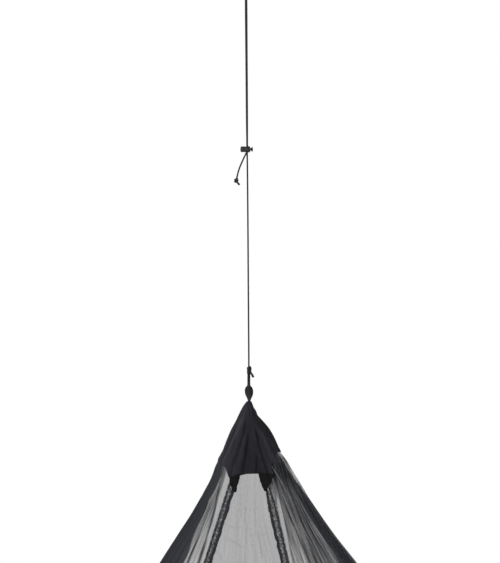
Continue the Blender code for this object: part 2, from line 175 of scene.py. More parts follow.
def follow(rows, value, column=1):  # smooth curve through a table, read at its first column
    table = np.array(rows, dtype=float)
    places = table[:, 0]
    levels = table[:, column]
    steps = np.diff(levels) / np.diff(places)
    turns = steps[:-1] * steps[1:]
    inner = np.divide(2 * turns, steps[:-1] + steps[1:], out=np.zeros_like(turns), where=turns > 0)
    slopes = np.concatenate([steps[:1], inner, steps[-1:]])
    value = np.clip(value, places[0], places[-1])
    low = np.clip(np.searchsorted(places, value, side="right") - 1, 0, len(places) - 2)
    span = places[low + 1] - places[low]
    t = (value - places[low]) / span
    ends = levels[low] * (1 + 2 * t) * (1 - t) ** 2 + levels[low + 1] * t * t * (3 - 2 * t)
    return ends + span * t * (1 - t) * (slopes[low] * (1 - t) - slopes[low + 1] * t)


def streaks(seed, across, along, cells, runs):  # uneven lines, -1 to 1, long in the second direction
    levels = np.random.default_rng(seed).uniform(-1.0, 1.0, (runs + 2, cells + 2))
    x = np.clip(across, 0.0, 1.0) * cells
    y = np.clip(along, 0.0, 1.0) * runs
    column = x.astype(int)
    row = y.astype(int)
    u = eased(x - column)
    v = eased(y - row)
    upper = levels[row, column] * (1 - u) + levels[row, column + 1] * u
    lower = levels[row + 1, column] * (1 - u) + levels[row + 1, column + 1] * u
    return upper * (1 - v) + lower * v


def makeGrid(name, points, cut, material, closed=False):  # rows run down, columns to the right
    index = np.arange(points.shape[0] * points.shape[1]).reshape(points.shape[:2])
    if closed:
        index = np.concatenate([index, index[:, :1]], axis=1)
    corners = (slice(None, -1), slice(None, -1)), (slice(1, None), slice(None, -1))
    corners += (slice(1, None), slice(1, None)), (slice(None, -1), slice(1, None))
    faces = np.stack([index[corner] for corner in corners], axis=-1).reshape(-1, 4)
    places = np.stack([cut[corner] for corner in corners], axis=2).reshape(-1, 2)
    mesh = bpy.data.meshes.new(name)
    mesh.from_pydata(points.reshape(-1, 3).tolist(), [], faces.tolist())
    mesh.uv_layers.new(name="cut").data.foreach_set("uv", places.astype(np.float32).ravel())
    mesh.shade_smooth()
    piece = bpy.data.objects.new(name, mesh)
    bpy.context.scene.collection.objects.link(piece)
    mesh.materials.append(material)
    return piece


def mark(piece, name, values):  # a number at each point, for the material
    layer = piece.data.attributes.new(name, "FLOAT", "POINT")
    layer.data.foreach_set("value", np.asarray(values, dtype=np.float32).ravel())


def deselect():
    bpy.ops.object.select_all(action="DESELECT")


def settle():  # takes its place, turn and size into the mesh
    bpy.ops.object.transform_apply(location=True, rotation=True, scale=True)


def applyAll(piece):
    deselect()
    bpy.context.view_layer.objects.active = piece
    piece.select_set(True)
    for modifier in list(piece.modifiers):
        bpy.ops.object.modifier_apply(modifier=modifier.name)
    piece.select_set(False)


def thicken(piece, thickness):
    solid = piece.modifiers.new("thickness", "SOLIDIFY")
    solid.thickness = thickness
    solid.offset = 0.0
    applyAll(piece)


# The cord, from the lower knot up through the lock, over at the top and back down to its tail.
cord = {
    "radius": 0.00160,
    "lean": 0.0075,  # sideways drift for each metre of drop
    "length": 1.22,
    "sides": 12,
    "fineness": 6,  # rings for each straight step of the route
    # side, depth, height, steps to the next row
    "rise": (
        (0.00000, 0.00000, -0.7817, 1),
        (0.00020, 0.00010, -0.7700, 4),
        (0.00030, 0.00060, -0.6400, 4),
        (0.00050, 0.00110, -0.5000, 4),
        (0.00040, 0.00152, -0.3900, 2),
        (0.00015, 0.00155, -0.3600, 1),
    ),
    "strand": (  # from the lock to the top, and mirrored on the way back
        (0.00000, 0.00155, -0.3480, 1),
        (-0.00005, 0.00155, -0.3380, 2),
        (-0.00040, 0.00155, -0.2900, 4),
        (-0.00060, 0.00148, -0.1700, 4),
        (-0.00085, 0.00140, -0.0650, 2),
        (-0.00070, 0.00160, -0.0450, 3),
        (-0.00040, 0.00300, -0.0310, 3),
        (-0.00020, 0.00510, -0.0165, 3),
        (-0.00010, 0.00600, -0.0065, 3),
        (0.00000, 0.00430, -0.0006, 2),
    ),
    "top": (0.00000, 0.00000, 0.00125, 2),
    "tail": (
        (-0.00110, -0.00160, -0.3535, 1),
        (-0.00290, -0.00175, -0.3576, 2),
        (-0.00570, -0.00200, -0.3632, 3),
        (-0.01120, -0.00280, -0.3744, 3),
        (-0.01730, -0.00350, -0.3888, 2),
        (-0.02070, -0.00385, -0.4004, 1),
        (-0.02200, -0.00400, -0.4063, 1),
    ),
    "braid": 6.0,  # strands round the cord
    "lay": 0.0034,
    "colour": (0.0125, 0.0125, 0.0125),
    "shade": (0.0098, 0.0098, 0.0098),
    "capRings": ((0.02, 0.45), (0.70, 0.34)),  # size and height of the rings at its ends, in radii
}


def axisX(height):  # the leaning cord's axis
    return -height * cord["lean"]


def cordRows():
    strand = cord["strand"]
    steps = [row[3] for row in strand[-2::-1]] + [cord["rise"][-1][3]]
    back = [(-row[0], -row[1], row[2], count) for row, count in zip(strand[::-1], steps)]
    return [*cord["rise"], *strand, cord["top"], *back, *cord["tail"]]


def smoothPath(points, steps):
    ends = [points[0] * 2 - points[1]] + list(points) + [points[-1] * 2 - points[-2]]
    path = []
    for i, count in enumerate(steps[:-1]):
        before, start, end, after = ends[i : i + 4]
        span = (end - start).length
        leave = (end - before).normalized() * span
        arrive = (after - start).normalized() * span
        for k in range(count):
            t = k / count
            there = start * (2 * t**3 - 3 * t**2 + 1) + end * (3 * t**2 - 2 * t**3)
            path.append(there + leave * (t**3 - 2 * t**2 + t) + arrive * (t**3 - t**2))
    path.append(points[-1].copy())
    return path


def makeTube(name, path, material, swell=0.0):  # swell: how much fatter it gets in its last eighth
    radius = cord["radius"]
    sides = cord["sides"]
    tangents = [(b - a).normalized() for a, b in zip(path, path[1:])]
    inner = [(a + b).normalized() for a, b in zip(tangents, tangents[1:])]
    tangents = [tangents[0], *inner, tangents[-1]]
    start = tangents[0] * radius
    end = tangents[-1] * radius
    stations = [(path[0] - start * rise, tangents[0], size) for size, rise in cord["capRings"]]
    stations += [(point, tangent, 1.0) for point, tangent in zip(path, tangents)]
    stations += [(path[-1] + end * rise, tangents[-1], size) for size, rise in cord["capRings"][::-1]]
    across = tangents[0].orthogonal().normalized()
    angles = [math.tau * side / sides for side in range(sides)]
    rings = []
    along = [0.0]
    for k, (centre, tangent, size) in enumerate(stations):
        girth = radius * size * (1.0 + swell * min(1.0, max(0.0, 8.0 * k / len(stations) - 7.0)))
        across = (across - tangent * across.dot(tangent)).normalized()
        beside = tangent.cross(across)
        rings.append([tuple(centre + (across * math.cos(a) + beside * math.sin(a)) * girth) for a in angles])
        if k:
            along.append(along[-1] + (centre - stations[k - 1][0]).length)
    points = np.array(rings)[:, ::-1]
    turns = np.linspace(0.0, math.tau * radius, sides + 1)
    cut = np.stack(np.broadcast_arrays(turns[None, :], np.array(along)[:, None]), axis=-1)
    piece = makeGrid(name, points, cut, material, closed=True)
    shape = bmesh.new()
    shape.from_mesh(piece.data)
    bmesh.ops.holes_fill(shape, edges=[edge for edge in shape.edges if edge.is_boundary])
    bmesh.ops.recalc_face_normals(shape, faces=shape.faces)
    shape.to_mesh(piece.data)
    shape.free()
    piece.data.shade_smooth()
    return piece


def cordFinish():  # a fine braid: two sets of strands that cross
    material, shader, start = newFinish("braidedCord", 0.75, 0.2)
    _, around, along = cutPlace(start)
    turn = around * (cord["braid"] / (math.tau * cord["radius"]))
    lay = along * (1.0 / cord["lay"])
    braid = (turn + lay).wave(1.0).larger((turn - lay).wave(1.0)).rise(0.0, 1.0)
    fuzz = start.noise(start.node("TexCoord", output=3), 900.0)
    # Painted shade: the grooves between the crossing strands are painted darker, in the cord's shade colour.
    plug(shader, "Base Color", (braid * (0.75 + fuzz * 0.4)).blend(cord["shade"], cord["colour"]))
    plug(shader, "Normal", bump(braid, 0.2, 0.0001))
    return material


cordMaterial = cordFinish()
cordRoute = [Vector((axisX(height) + side, depth, height)) for side, depth, height, _ in cordRows()]
cordPath = smoothPath(cordRoute, [row[3] * cord["fineness"] for row in cordRows()])
cordRun = makeTube("cordRun", cordPath, cordMaterial)
print("cord laid, metres:", round(sum((b - a).length for a, b in zip(cordPath, cordPath[1:])), 4))

# The two knots, tied from the same cord. Rows of three are offsets from a knot's middle.
eye = {
    "top": -0.7820,
    "bottom": -0.7980,
    "bar": -0.8240,  # height at which the tape hangs
    "turn": math.radians(20),
    "half": (
        # from the middle, above the bar
        (0.00160, 0.0270), (0.00160, 0.0170), (0.00160, 0.0110), (0.00158, 0.0078),
        (0.00165, 0.0054), (0.00205, 0.0034), (0.00250, 0.0016), (0.00170, 0.0002),
    ),
    "crossing": (-0.0018, -0.0008, -0.0058),
    "before": (
        (0.0000, 0.0000, 0.0105),
        (0.0000, 0.0000, 0.0070),
        (0.0004, 0.0002, 0.0010),
        (0.0010, 0.0004, -0.0050),
    ),
    "wraps": 33,  # points round the knot
    "start": 1.05 * math.pi,
    "step": math.tau / 8,
    "reach": (0.0023, 0.00025, 2.3, 1.0),  # size, unevenness, its waves in a radian, phase
    "flat": 1.0,
    "height": (-0.0052, 0.0105),  # lowest, and growth
    "tilt": (0.0011, math.pi / 2 - 0.4),  # size, phase
    "after": (
        (0.0024, 0.0016, 0.0062),
        (0.0036, -0.0002, 0.0040),
        (0.0030, -0.0016, -0.0008),
        (0.0032, -0.0020, -0.0046),
        (0.0058, -0.0024, -0.0086),
        (0.0088, -0.0026, -0.0142),
    ),
    "swell": 0.45,
}
tail = {
    "middle": (-0.0200, -0.0040, -0.4112),
    "before": (
        (0.0014, 0.0000, 0.0066),
        (0.0010, 0.0002, 0.0044),
        (-0.0002, 0.0006, 0.0022),
        (0.0008, 0.0004, -0.0010),
    ),
    "wraps": 16,
    "start": -0.3,
    "step": -math.tau / 8,
    "reach": (0.0029, 0.0003, 1.7, 0.0),
    "flat": 0.9,
    "height": (-0.0036, 0.0066),
    "tilt": (0.0008, 0.8),
    "after": (
        (0.0006, -0.0012, 0.0012),
        (0.0010, -0.0010, -0.0022),
        (0.0028, -0.0006, -0.0050),
        (0.0062, -0.0008, -0.0086),
    ),
    "swell": 0.35,
}


def eyePoints(middle):
    along = Vector((math.cos(eye["turn"]), math.sin(eye["turn"]), 0.0))
    bar = Vector((middle.x, 0.0, eye["bar"]))
    up = Vector((0.0, 0.0, 1.0))
    points = [bar + along * spread + up * rise for spread, rise in eye["half"]] + [bar]
    points += [bar - along * spread + up * rise for spread, rise in reversed(eye["half"])]
    return points + [middle + Vector(eye["crossing"])]


def makeKnot(name, look, middle, loop=()):  # the cord comes in, goes round itself and out
    points = [middle + Vector(row) for row in look["before"]] + list(loop)
    size, uneven, waves, phase = look["reach"]
    for k in range(look["wraps"]):
        angle = look["start"] + look["step"] * k
        reach = size + uneven * math.sin(waves * angle + phase)
        height = look["height"][0] + look["height"][1] * k / (look["wraps"] - 1)
        height += look["tilt"][0] * math.sin(angle + look["tilt"][1])
        place = (reach * math.cos(angle), reach * look["flat"] * math.sin(angle), height)
        points.append(middle + Vector(place))
    points += [middle + Vector(row) for row in look["after"]]
    return makeTube(name, smoothPath(points, [4] * len(points)), cordMaterial, look["swell"])


eyeMiddle = Vector((axisX(eye["top"]), 0.0, (eye["top"] + eye["bottom"]) / 2))
eyeKnot = makeKnot("eyeKnot", eye, eyeMiddle, eyePoints(eyeMiddle))
tailKnot = makeKnot("tailKnot", tail, Vector(tail["middle"]))
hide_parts("cord_run")
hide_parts("cord_eye_knot")
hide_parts("cord_end_knot")
for piece in (cordRun, eyeKnot, tailKnot):
    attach(piece, "canopy")
print("knots tied")

# The hung shape that cap and net share, as in the frame.
hung = {
    "apex": (0.0067, 0.0, -0.8505),
    "drop": 1.4995,  # from the cap's tip to the bottom hem
    "outline": (
        # drop, left, right, depth, corner
        (0.0000, 0.0029, 0.0030, 0.0028, 0.71),
        (0.0022, 0.0043, 0.0034, 0.0038, 0.71),
        (0.0050, 0.0063, 0.0043, 0.0055, 0.71),
        (0.0094, 0.0097, 0.0060, 0.0084, 0.71),
        (0.0194, 0.0154, 0.0116, 0.0142, 0.72),
        (0.0294, 0.0204, 0.0168, 0.0184, 0.73),
        (0.0394, 0.0254, 0.0242, 0.0222, 0.75),
        (0.0594, 0.0352, 0.0398, 0.0300, 0.79),
        (0.0794, 0.0438, 0.0508, 0.0370, 0.84),
        (0.0994, 0.0516, 0.0596, 0.0435, 0.89),
        (0.1214, 0.0606, 0.0738, 0.0508, 0.93),
        (0.1554, 0.0680, 0.0914, 0.0620, 0.97),
        (0.1894, 0.0822, 0.1084, 0.0740, 0.99),
        (0.2294, 0.1010, 0.1320, 0.0890, 1.00),
        (0.2694, 0.1246, 0.1584, 0.1040, 1.00),
        (0.3220, 0.1554, 0.1974, 0.1240, 1.00),
        (0.8000, 0.4200, 0.5100, 0.3070, 1.00),
        (1.4995, 0.8400, 0.9900, 0.5750, 1.00),
    ),
    "hem": (
        # perimeter, drop of the cap's hem
        (0.00, 0.127), (0.04, 0.132), (0.11, 0.1505), (0.25, 0.1455), (0.35, 0.1428),
        (0.46, 0.1426), (0.66, 0.1465), (0.73, 0.128), (0.84, 0.112), (1.00, 0.101), (1.50, 0.104),
        (2.00, 0.108), (2.50, 0.114), (3.00, 0.123), (3.50, 0.125), (4.00, 0.127),
    ),
    "door": (
        # drop, left edge, right edge
        (0.1000, -0.0114, 0.0091),
        (0.1894, -0.0454, 0.0224),
        (0.3220, -0.0972, 0.0448),
        (1.4995, -0.5550, 0.2600),
    ),
    "hemDrop": 0.15,  # where a place's share of the front is taken, near the cap's hem
    "tuck": 0.011,  # how far the net reaches up inside the cap
    "release": 0.016,  # drop over which the net leaves the cap's folds
    "standoff": 0.0006,  # from the cap to the net under it
    "lap": 0.015,  # how far the door panel reaches in behind each hem
    "doorFlat": 0.018,  # width without pleats beside the door's edge
    "doorStandoff": 0.0021,
}


def reaches(drop, inset=0.0):
    left, right, depth = (follow(hung["outline"], drop, column) - inset for column in (1, 2, 3))
    return left, right, depth, follow(hung["outline"], drop, 4)


def capHem(perimeter):
    return follow(hung["hem"], np.mod(perimeter, 4.0))


def hungPoint(side, share, drop, inset=0.0):
    share, drop = np.broadcast_arrays(share, drop)
    left, right, depth, corner = reaches(drop, inset)
    corners = ((-left, -depth), (right, -depth), (right, depth), (-left, depth))
    out = ((0, -1), (1, 0), (0, 1), (-1, 0))[side]
    reach = (depth, right, depth, left)[side]
    bow = reach * (1.0 - corner) * (1.0 - (2.0 * share - 1.0) ** 2)
    plan = []
    for axis in (0, 1):
        start = corners[side][axis]
        end = corners[(side + 1) % 4][axis]
        plan.append((start + (end - start) * share) * corner + out[axis] * bow)
    return np.stack([plan[0], plan[1], -drop], axis=-1), np.array([*out, 0.0])


def sideLength(side, drop):
    left, right, depth, corner = reaches(drop)
    return ((left + right), 2 * depth)[side % 2] * corner


def frontShare(x, drop):
    left, right, _, corner = reaches(drop)
    return (x + left * corner) / ((left + right) * corner)


def apart(perimeter, place):  # the shorter way round
    return np.mod(perimeter - place + 2.0, 4.0) - 2.0


def radial(points):
    flat = points * np.array([1.0, 1.0, 0.0])
    return flat / np.maximum(np.linalg.norm(flat, axis=-1, keepdims=True), 1e-9)


# The cap: solid cloth with soft folds and a narrow turned hem.
cap = {
    "mouth": 0.0022,
    "thickness": 0.0010,
    "columns": (84, 48, 60, 48),  # front, right end, back, left end
    "rows": ((0.0, 0.86, 52), (0.865, 1.0, 24)),  # share of the height from, to, how many
    "folds": (
        # count, depth, start
        (7, 0.0011, 0.4),
        (11, 0.0008, 1.9),
        (3, 0.0012, 2.6),
    ),
    "foldsGrown": 0.13,  # drop at which they have their full depth
    "creases": (
        # from drop, to drop, perimeter there, half way and here, half width, depth
        (0.034, 0.170, 0.270, 0.160, 0.090, 0.0028, -0.0023),
        (0.058, 0.180, 0.380, 0.320, 0.200, 0.0032, -0.0030),
        (0.048, 0.180, 0.650, 0.648, 0.640, 0.0034, -0.0030),
        (0.100, 0.180, 0.560, 0.490, 0.400, 0.0028, -0.0024),
        (0.060, 0.124, 0.030, 0.065, 0.050, 0.0018, -0.0012),
        (0.020, 0.140, 0.130, 0.000, -0.170, 0.0034, 0.0034),
        (0.056, 0.170, 0.300, 0.240, 0.150, 0.0050, 0.0015),
        (0.048, 0.170, 0.520, 0.470, 0.400, 0.0080, 0.0012),
        (0.048, 0.150, 0.790, 0.830, 0.790, 0.0048, 0.0020),
        (0.062, 0.150, 0.720, 0.735, 0.730, 0.0026, -0.0014),
        (0.030, 0.140, 1.080, 1.060, 1.030, 0.0050, -0.0022),
        (0.030, 0.140, 1.420, 1.470, 1.500, 0.0060, 0.0016),
        (0.040, 0.140, 1.660, 1.700, 1.760, 0.0040, -0.0024),
        (0.035, 0.140, 2.060, 2.090, 2.100, 0.0050, -0.0025),
        (0.050, 0.150, 2.350, 2.320, 2.270, 0.0040, -0.0020),
        (0.045, 0.150, 2.500, 2.510, 2.520, 0.0070, 0.0016),
        (0.040, 0.150, 2.640, 2.680, 2.750, 0.0045, -0.0027),
        (0.045, 0.150, 2.850, 2.870, 2.900, 0.0060, 0.0015),
        (0.040, 0.160, 3.120, 3.150, 3.200, 0.0050, -0.0024),
        (0.050, 0.160, 3.440, 3.420, 3.360, 0.0040, -0.0020),
        (0.040, 0.160, 3.620, 3.660, 3.720, 0.0060, 0.0018),
        (0.045, 0.160, 3.850, 3.800, 3.760, 0.0035, -0.0021),
    ),
    "creaseEnds": 0.020,
    # small pleats where the cloth is drawn in at the tape
    "gathers": {"count": 11, "depth": 0.0007, "grown": 0.006, "fadeFrom": 0.012, "fade": 0.030},
    # the kink below the tip on the right: perimeter, half width, then drop, half height, depth
    "kink": (1.35, 0.75, ((0.0150, 0.0035, 0.0008), (0.0300, 0.0050, 0.0012))),
    "wrinkles": {"depth": 0.00035, "seed": 5, "cells": 26, "runs": 5, "span": 0.16},
    "hemWidth": 0.010,
    "hemSwell": 0.0004,
    "stitches": (0.0003, 0.0009),  # depth, half width
    "clothSide": 0.155,  # metres of cloth to a side
    "paintedFoldShade": 105.0,  # painted shade and highlight: ridges painted paler than the folds
    # Painted light: the cloth is painted paler on its left and right flanks, where the light falls; it is
    # also paler near the tip, and by an even amount everywhere.
    "pale": 0.06,
    "paleTip": (0.20, 0.008, 0.020),  # more, from drop, fading over
    "paleLeft": (0.16, 0.16, 3.40, 0.30),  # more, where it ends, start counted on from there, growing over
    "paleRight": (0.10, 0.84, 0.12, 1.50, 0.20),  # more, from, growing over, till, fading over
    # The cloth's colour, and the paler colour it blends to for its uneven tone and for painted light and
    # shade.
    "colour": (0.0084, 0.0079, 0.0103),
    "wornAndLit": (0.0330, 0.0316, 0.0378),
}


def capFold(perimeter, drop):
    grown = eased(drop / cap["foldsGrown"])
    depth = 0.0
    for count, size, start in cap["folds"]:
        depth = depth + grown * size * np.sin(math.tau * count * perimeter / 4.0 + start)
    scale = (sideLength(0, drop) + sideLength(1, drop)) / 2  # metres in one step of the perimeter
    for top, low, first, middle, last, width, size in cap["creases"]:
        line = follow(((top, first), ((top + low) / 2, middle), (low, last)), drop)
        ends = eased((drop - top) / cap["creaseEnds"]) * eased((low - drop) / cap["creaseEnds"])
        depth = depth + size * bell(apart(perimeter, line) * scale, width) * ends
    return depth


def tipGathers(perimeter, drop):
    look = cap["gathers"]
    size = look["depth"] * eased(drop / look["grown"]) * fading((drop - look["fadeFrom"]) / look["fade"])
    return size * np.sin(math.tau * look["count"] * perimeter / 4.0 + 3.0 * np.sin(perimeter * 1.6))


def kink(perimeter, drop):
    place, width, dents = cap["kink"]
    depth = sum(size * bell(drop - low, height) for low, height, size in dents)
    return -depth * bell(apart(perimeter, place), width)


# Painted light: how much paler the cap is painted at each place.
def paintedPaleness(perimeter, drop):
    more, end, start, grow = cap["paleLeft"]
    pale = more * eased((np.mod(perimeter - end, 4.0) - start) / grow)
    more, start, grow, end, fade = cap["paleRight"]
    pale = pale + more * eased((perimeter - start) / grow) * fading((perimeter - end) / fade)
    more, start, fade = cap["paleTip"]
    return pale + more * fading((drop - start) / fade) + cap["pale"]


def clothFinish(name, colour, wornAndLit, roughness):
    material, shader, start = newFinish(name, roughness, 0.12)
    place, across, along = cutPlace(start)
    weave = across.wave(0.0007) * along.wave(0.0007)
    cloud = start.noise(place, 45.0, 4.0)
    grain = start.noise(place, 1100.0)
    # Paler with the cloth's uneven tone and weave, and with the painted light and shade marked on the mesh.
    toneAndLight = cloud.rise(0.35, 0.75) * 0.16 + grain * 0.16 + weave * 0.06 + start.attribute("toneAndPaintedLight")
    plug(shader, "Base Color", toneAndLight.blend(colour, wornAndLit))
    plug(shader, "Normal", bump(weave * 0.5 + grain, 0.35, 0.0002))
    return material


def makeCap():
    rows = np.concatenate([np.linspace(*part) for part in cap["rows"]])[:, None]
    look = cap["wrinkles"]
    groove, grooveWidth = cap["stitches"]
    pieces = []
    places = []
    capPaintedLight = []
    for side, count in enumerate(cap["columns"]):
        share = np.arange(count)[None, :] / count
        perimeter = side + share
        hem = capHem(perimeter)
        drop = between(cap["mouth"], hem, rows)
        points, _ = hungPoint(side, share, drop)
        up = hem - drop
        folds = capFold(perimeter, drop)
        lift = folds + tipGathers(perimeter, drop) + kink(perimeter, drop)
        lift = lift + cap["hemSwell"] * eased(1 - np.abs(up / cap["hemWidth"] - 0.5) * 2.2)
        lift = lift - groove * bell(up - cap["hemWidth"], grooveWidth)
        wrinkles = streaks(look["seed"] + side, share, drop / look["span"], look["cells"], look["runs"])
        lift = lift + look["depth"] * wrinkles
        pieces.append(np.array(hung["apex"]) + points + radial(points) * lift[..., None])
        places.append(np.stack(np.broadcast_arrays(perimeter * cap["clothSide"], up), axis=-1))
        # Painted light and shade: ridges painted paler than the folds, and the flanks painted paler.
        capPaintedLight.append(folds * cap["paintedFoldShade"] + paintedPaleness(perimeter, drop))
    cut = np.concatenate(places, axis=1)
    cut = np.concatenate([cut, cut[:, :1] + np.array([4 * cap["clothSide"], 0.0])], axis=1)
    material = clothFinish("capCloth", cap["colour"], cap["wornAndLit"], 0.9)
    piece = makeGrid("capCloth", np.concatenate(pieces, axis=1), cut, material, closed=True)
    mark(piece, "toneAndPaintedLight", np.concatenate(capPaintedLight, axis=1))
    thicken(piece, cap["thickness"])
    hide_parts("cap")
    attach(piece, "canopy")
    return piece


capCloth = makeCap()
print("cap made")

# The net: one open surface a panel. Each point carries how many layers of net lie there.
net = {
    # The threads' colour, and the paler colour the net blends towards, along the fine lines as painted
    # highlights.
    "thread": (0.0100, 0.0107, 0.0127),
    "light": (0.0270, 0.0287, 0.0332),
    "passes": 0.622,  # share of light that one layer lets through
    "pitch": 0.0015,
    "pleatDepths": (
        # drop, share of the full depth
        (0.100, 0.02), (0.160, 0.12), (0.210, 0.55), (0.322, 1.00), (0.800, 1.90), (1.440, 2.20),
        (1.4995, 2.30),
    ),
    "drift": (0.35, 1.7, 5.0),  # unevenness of the pleats' places: size, waves, phase
    "swell": (0.30, 2.3, 9.0),  # and of their depths
    "pleatFade": 0.6,
    "foldDrops": (0.16, 0.22, 0.31, 1.50),  # where a fold's distance from the door is given
    "foldTurn": (0.18, 0.12),  # from its upper to its lower layers: drop, over
    "foldFade": (1.25, 0.45, 0.90),  # layers it comes to, drop, over
    "foldWiden": (0.31, 0.7, 3.0),  # drop of its stated width, least and most
    "streakSpan": 1.5,
    "bottomHem": 0.022,
    "foldedEdge": 0.0015,
    "stitches": (1.6, 0.0016),  # layers, half width
    "slack": 1.12,  # length of the cloth for each metre of drop
    "lineScale": (130.0, 4.0, 1.0),
    "grainScale": 330.0,
    "spotScale": 350.0,
}


def waver(look, share, start):
    size, waves, phase = look
    return size * np.sin(math.tau * waves * share + phase * start)


def pleat(look, share, width):
    count, _, start, laps = look["pleats"]
    wave = np.sin(math.tau * (count * (share + waver(net["drift"], share, start) / count) + start))
    fade = net["pleatFade"] * width / count
    first = eased((share * width - laps[0] * hung["doorFlat"]) / fade)
    last = eased(((1.0 - share) * width - laps[1] * hung["doorFlat"]) / fade)
    return wave * (1.0 + waver(net["swell"], share, start)) * first * last


def foldLine(places, drop):
    low, second = net["foldDrops"][:2]
    above = np.minimum(drop - low, 0.0) * (places[1] - places[0]) / (second - low)
    return follow(tuple(zip(net["foldDrops"], places)), drop) + 0.5 * above


def layFolds(folds, away, drop, cover):  # the listed folds change the layers and the relief
    turnAt, turnOver = net["foldTurn"]
    calm, fadeAt, fadeOver = net["foldFade"]
    stated, least, most = net["foldWiden"]
    relief = np.zeros_like(away)
    for *places, width, above, below, lift in folds:
        layers = between(above, below, eased((drop - turnAt) / turnOver))
        layers = between(layers, calm, eased((drop - fadeAt) / fadeOver))
        off = (away - foldLine(places, drop)) / (width * np.clip(drop / stated, least, most))
        cover = between(cover, layers, np.exp(-(off**2)))
        relief = relief + lift * np.exp(-0.4 * off**2)
    return cover, relief


def netPoints(look, side, place, share, width, drop, relief, inwards=0.0):
    free = eased((drop - capHem(side + place)) / hung["release"])
    inset = hung["standoff"] * (1.0 - free) + inwards
    points, out = hungPoint(side, place, drop, inset)
    depth = look["pleats"][1] * follow(net["pleatDepths"], drop)
    held = capFold(side + place, drop) * (1.0 - free)
    moved = (pleat(look, share, width) * depth + relief) * free
    return np.array(hung["apex"]) + points + radial(points) * held[..., None] + out * moved[..., None]


def rowsDown(top, count, crowding):  # rows closer together near the cap
    return between(top, hung["drop"], np.linspace(0.0, 1.0, count)[:, None] ** crowding)


def downStreaks(seed, share, drop, cells, runs):
    return streaks(seed, share, drop / net["streakSpan"], cells, runs)


def netCut(look, share, drop):
    width = between(*look["cloth"], drop / hung["drop"])
    return np.stack([share * width, drop * net["slack"]], axis=-1)


def bottomCover(cover, drop):
    up = hung["drop"] - drop - net["bottomHem"]
    layers, width = net["stitches"]
    return cover * (1.0 + eased(-up / net["foldedEdge"])) + layers * bell(up, width)


def netFinish():
    material, shader, start = newFinish("blackNet", 0.9, 0.1)
    place, across, along = cutPlace(start)
    threads = across.wave(net["pitch"]).larger(along.wave(net["pitch"])).rise(0.55, 0.95)
    fine = start.noise(start.node("Mapping", None, {"Vector": place, "Scale": net["lineScale"]}), 1.0, 3.0)
    fine = fine + start.attribute("calm") * (0.47 - fine)
    grain = start.noise(place, net["grainScale"], 1.0)
    spots = start.noise(start.node("TexCoord", output=3), net["spotScale"], 1.0).rise(0.36, 0.60)
    layers = start.attribute("cover") * (0.64 + 0.95 * threads) * (0.52 + 0.66 * fine + 0.30 * grain)
    layers = layers * (1.0 + start.attribute("speckle") * (1.5 * spots - 0.6))
    plug(shader, "Alpha", 1.0 - net["passes"] ** layers)
    # Paler along the fine lines, a painted highlight on the folds; darker where painted shade is marked, and
    # paler where that mark is below zero, painted light.
    paintedNetLight = fine.rise(0.45, 0.8) * 0.4 + 0.42 - start.attribute("paintedShading")
    plug(shader, "Base Color", paintedNetLight.blend(net["thread"], net["light"]))
    plug(shader, "Normal", bump(threads, 0.3, 0.0002))
    return material


netMaterial = netFinish()


def finishNet(piece, node, cover):
    mark(piece, "cover", cover)
    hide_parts(node)
    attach(piece, "canopy")


# The wings stand either side of the door. Distances are from the door's hemmed edge outwards.
wings = {
    "rows": 420,
    "crowding": 1.9,
    "hemColumns": 16,
    "hemSpan": 0.0190,
    "hemFade": 0.0012,
    "single": 0.95,  # layers in the flat part
    "flatRamp": 0.0040,
    "flatFade": 0.03,
    # clear strip by the corner: drop, width
    "strip": ((0.10, 0.0040), (0.115, 0.0052), (0.13, 0.0068), (0.15, 0.0072), (0.165, 0.0050), (0.19, 0.0)),
    "stripFade": 0.0012,
    "seamWidth": 0.0016,
    "streakStrength": ((0.10, 0.0), (0.14, 0.1), (0.165, 0.7), (0.20, 1.0), (1.5, 1.0)),
    "gaps": 3.6,  # how clear the hair-like gaps are
    "ripple": 0.0006,
    # one clear line below the cap's corner: layers, half width, till drop, fading over
    "gleam": (1.7, 0.0011, 0.17, 0.03),
    # fading of the painted shade, down and across
    "paintedShadingFades": (0.03, 0.004),
    "ruffles": ((42, 0.0010), (170, 0.0010), (420, 0.0006)),  # how many down the edge, size
    "ruffleReach": 0.0150,
    "ruffleDepth": 1.3,  # in depth, for each metre sideways
}
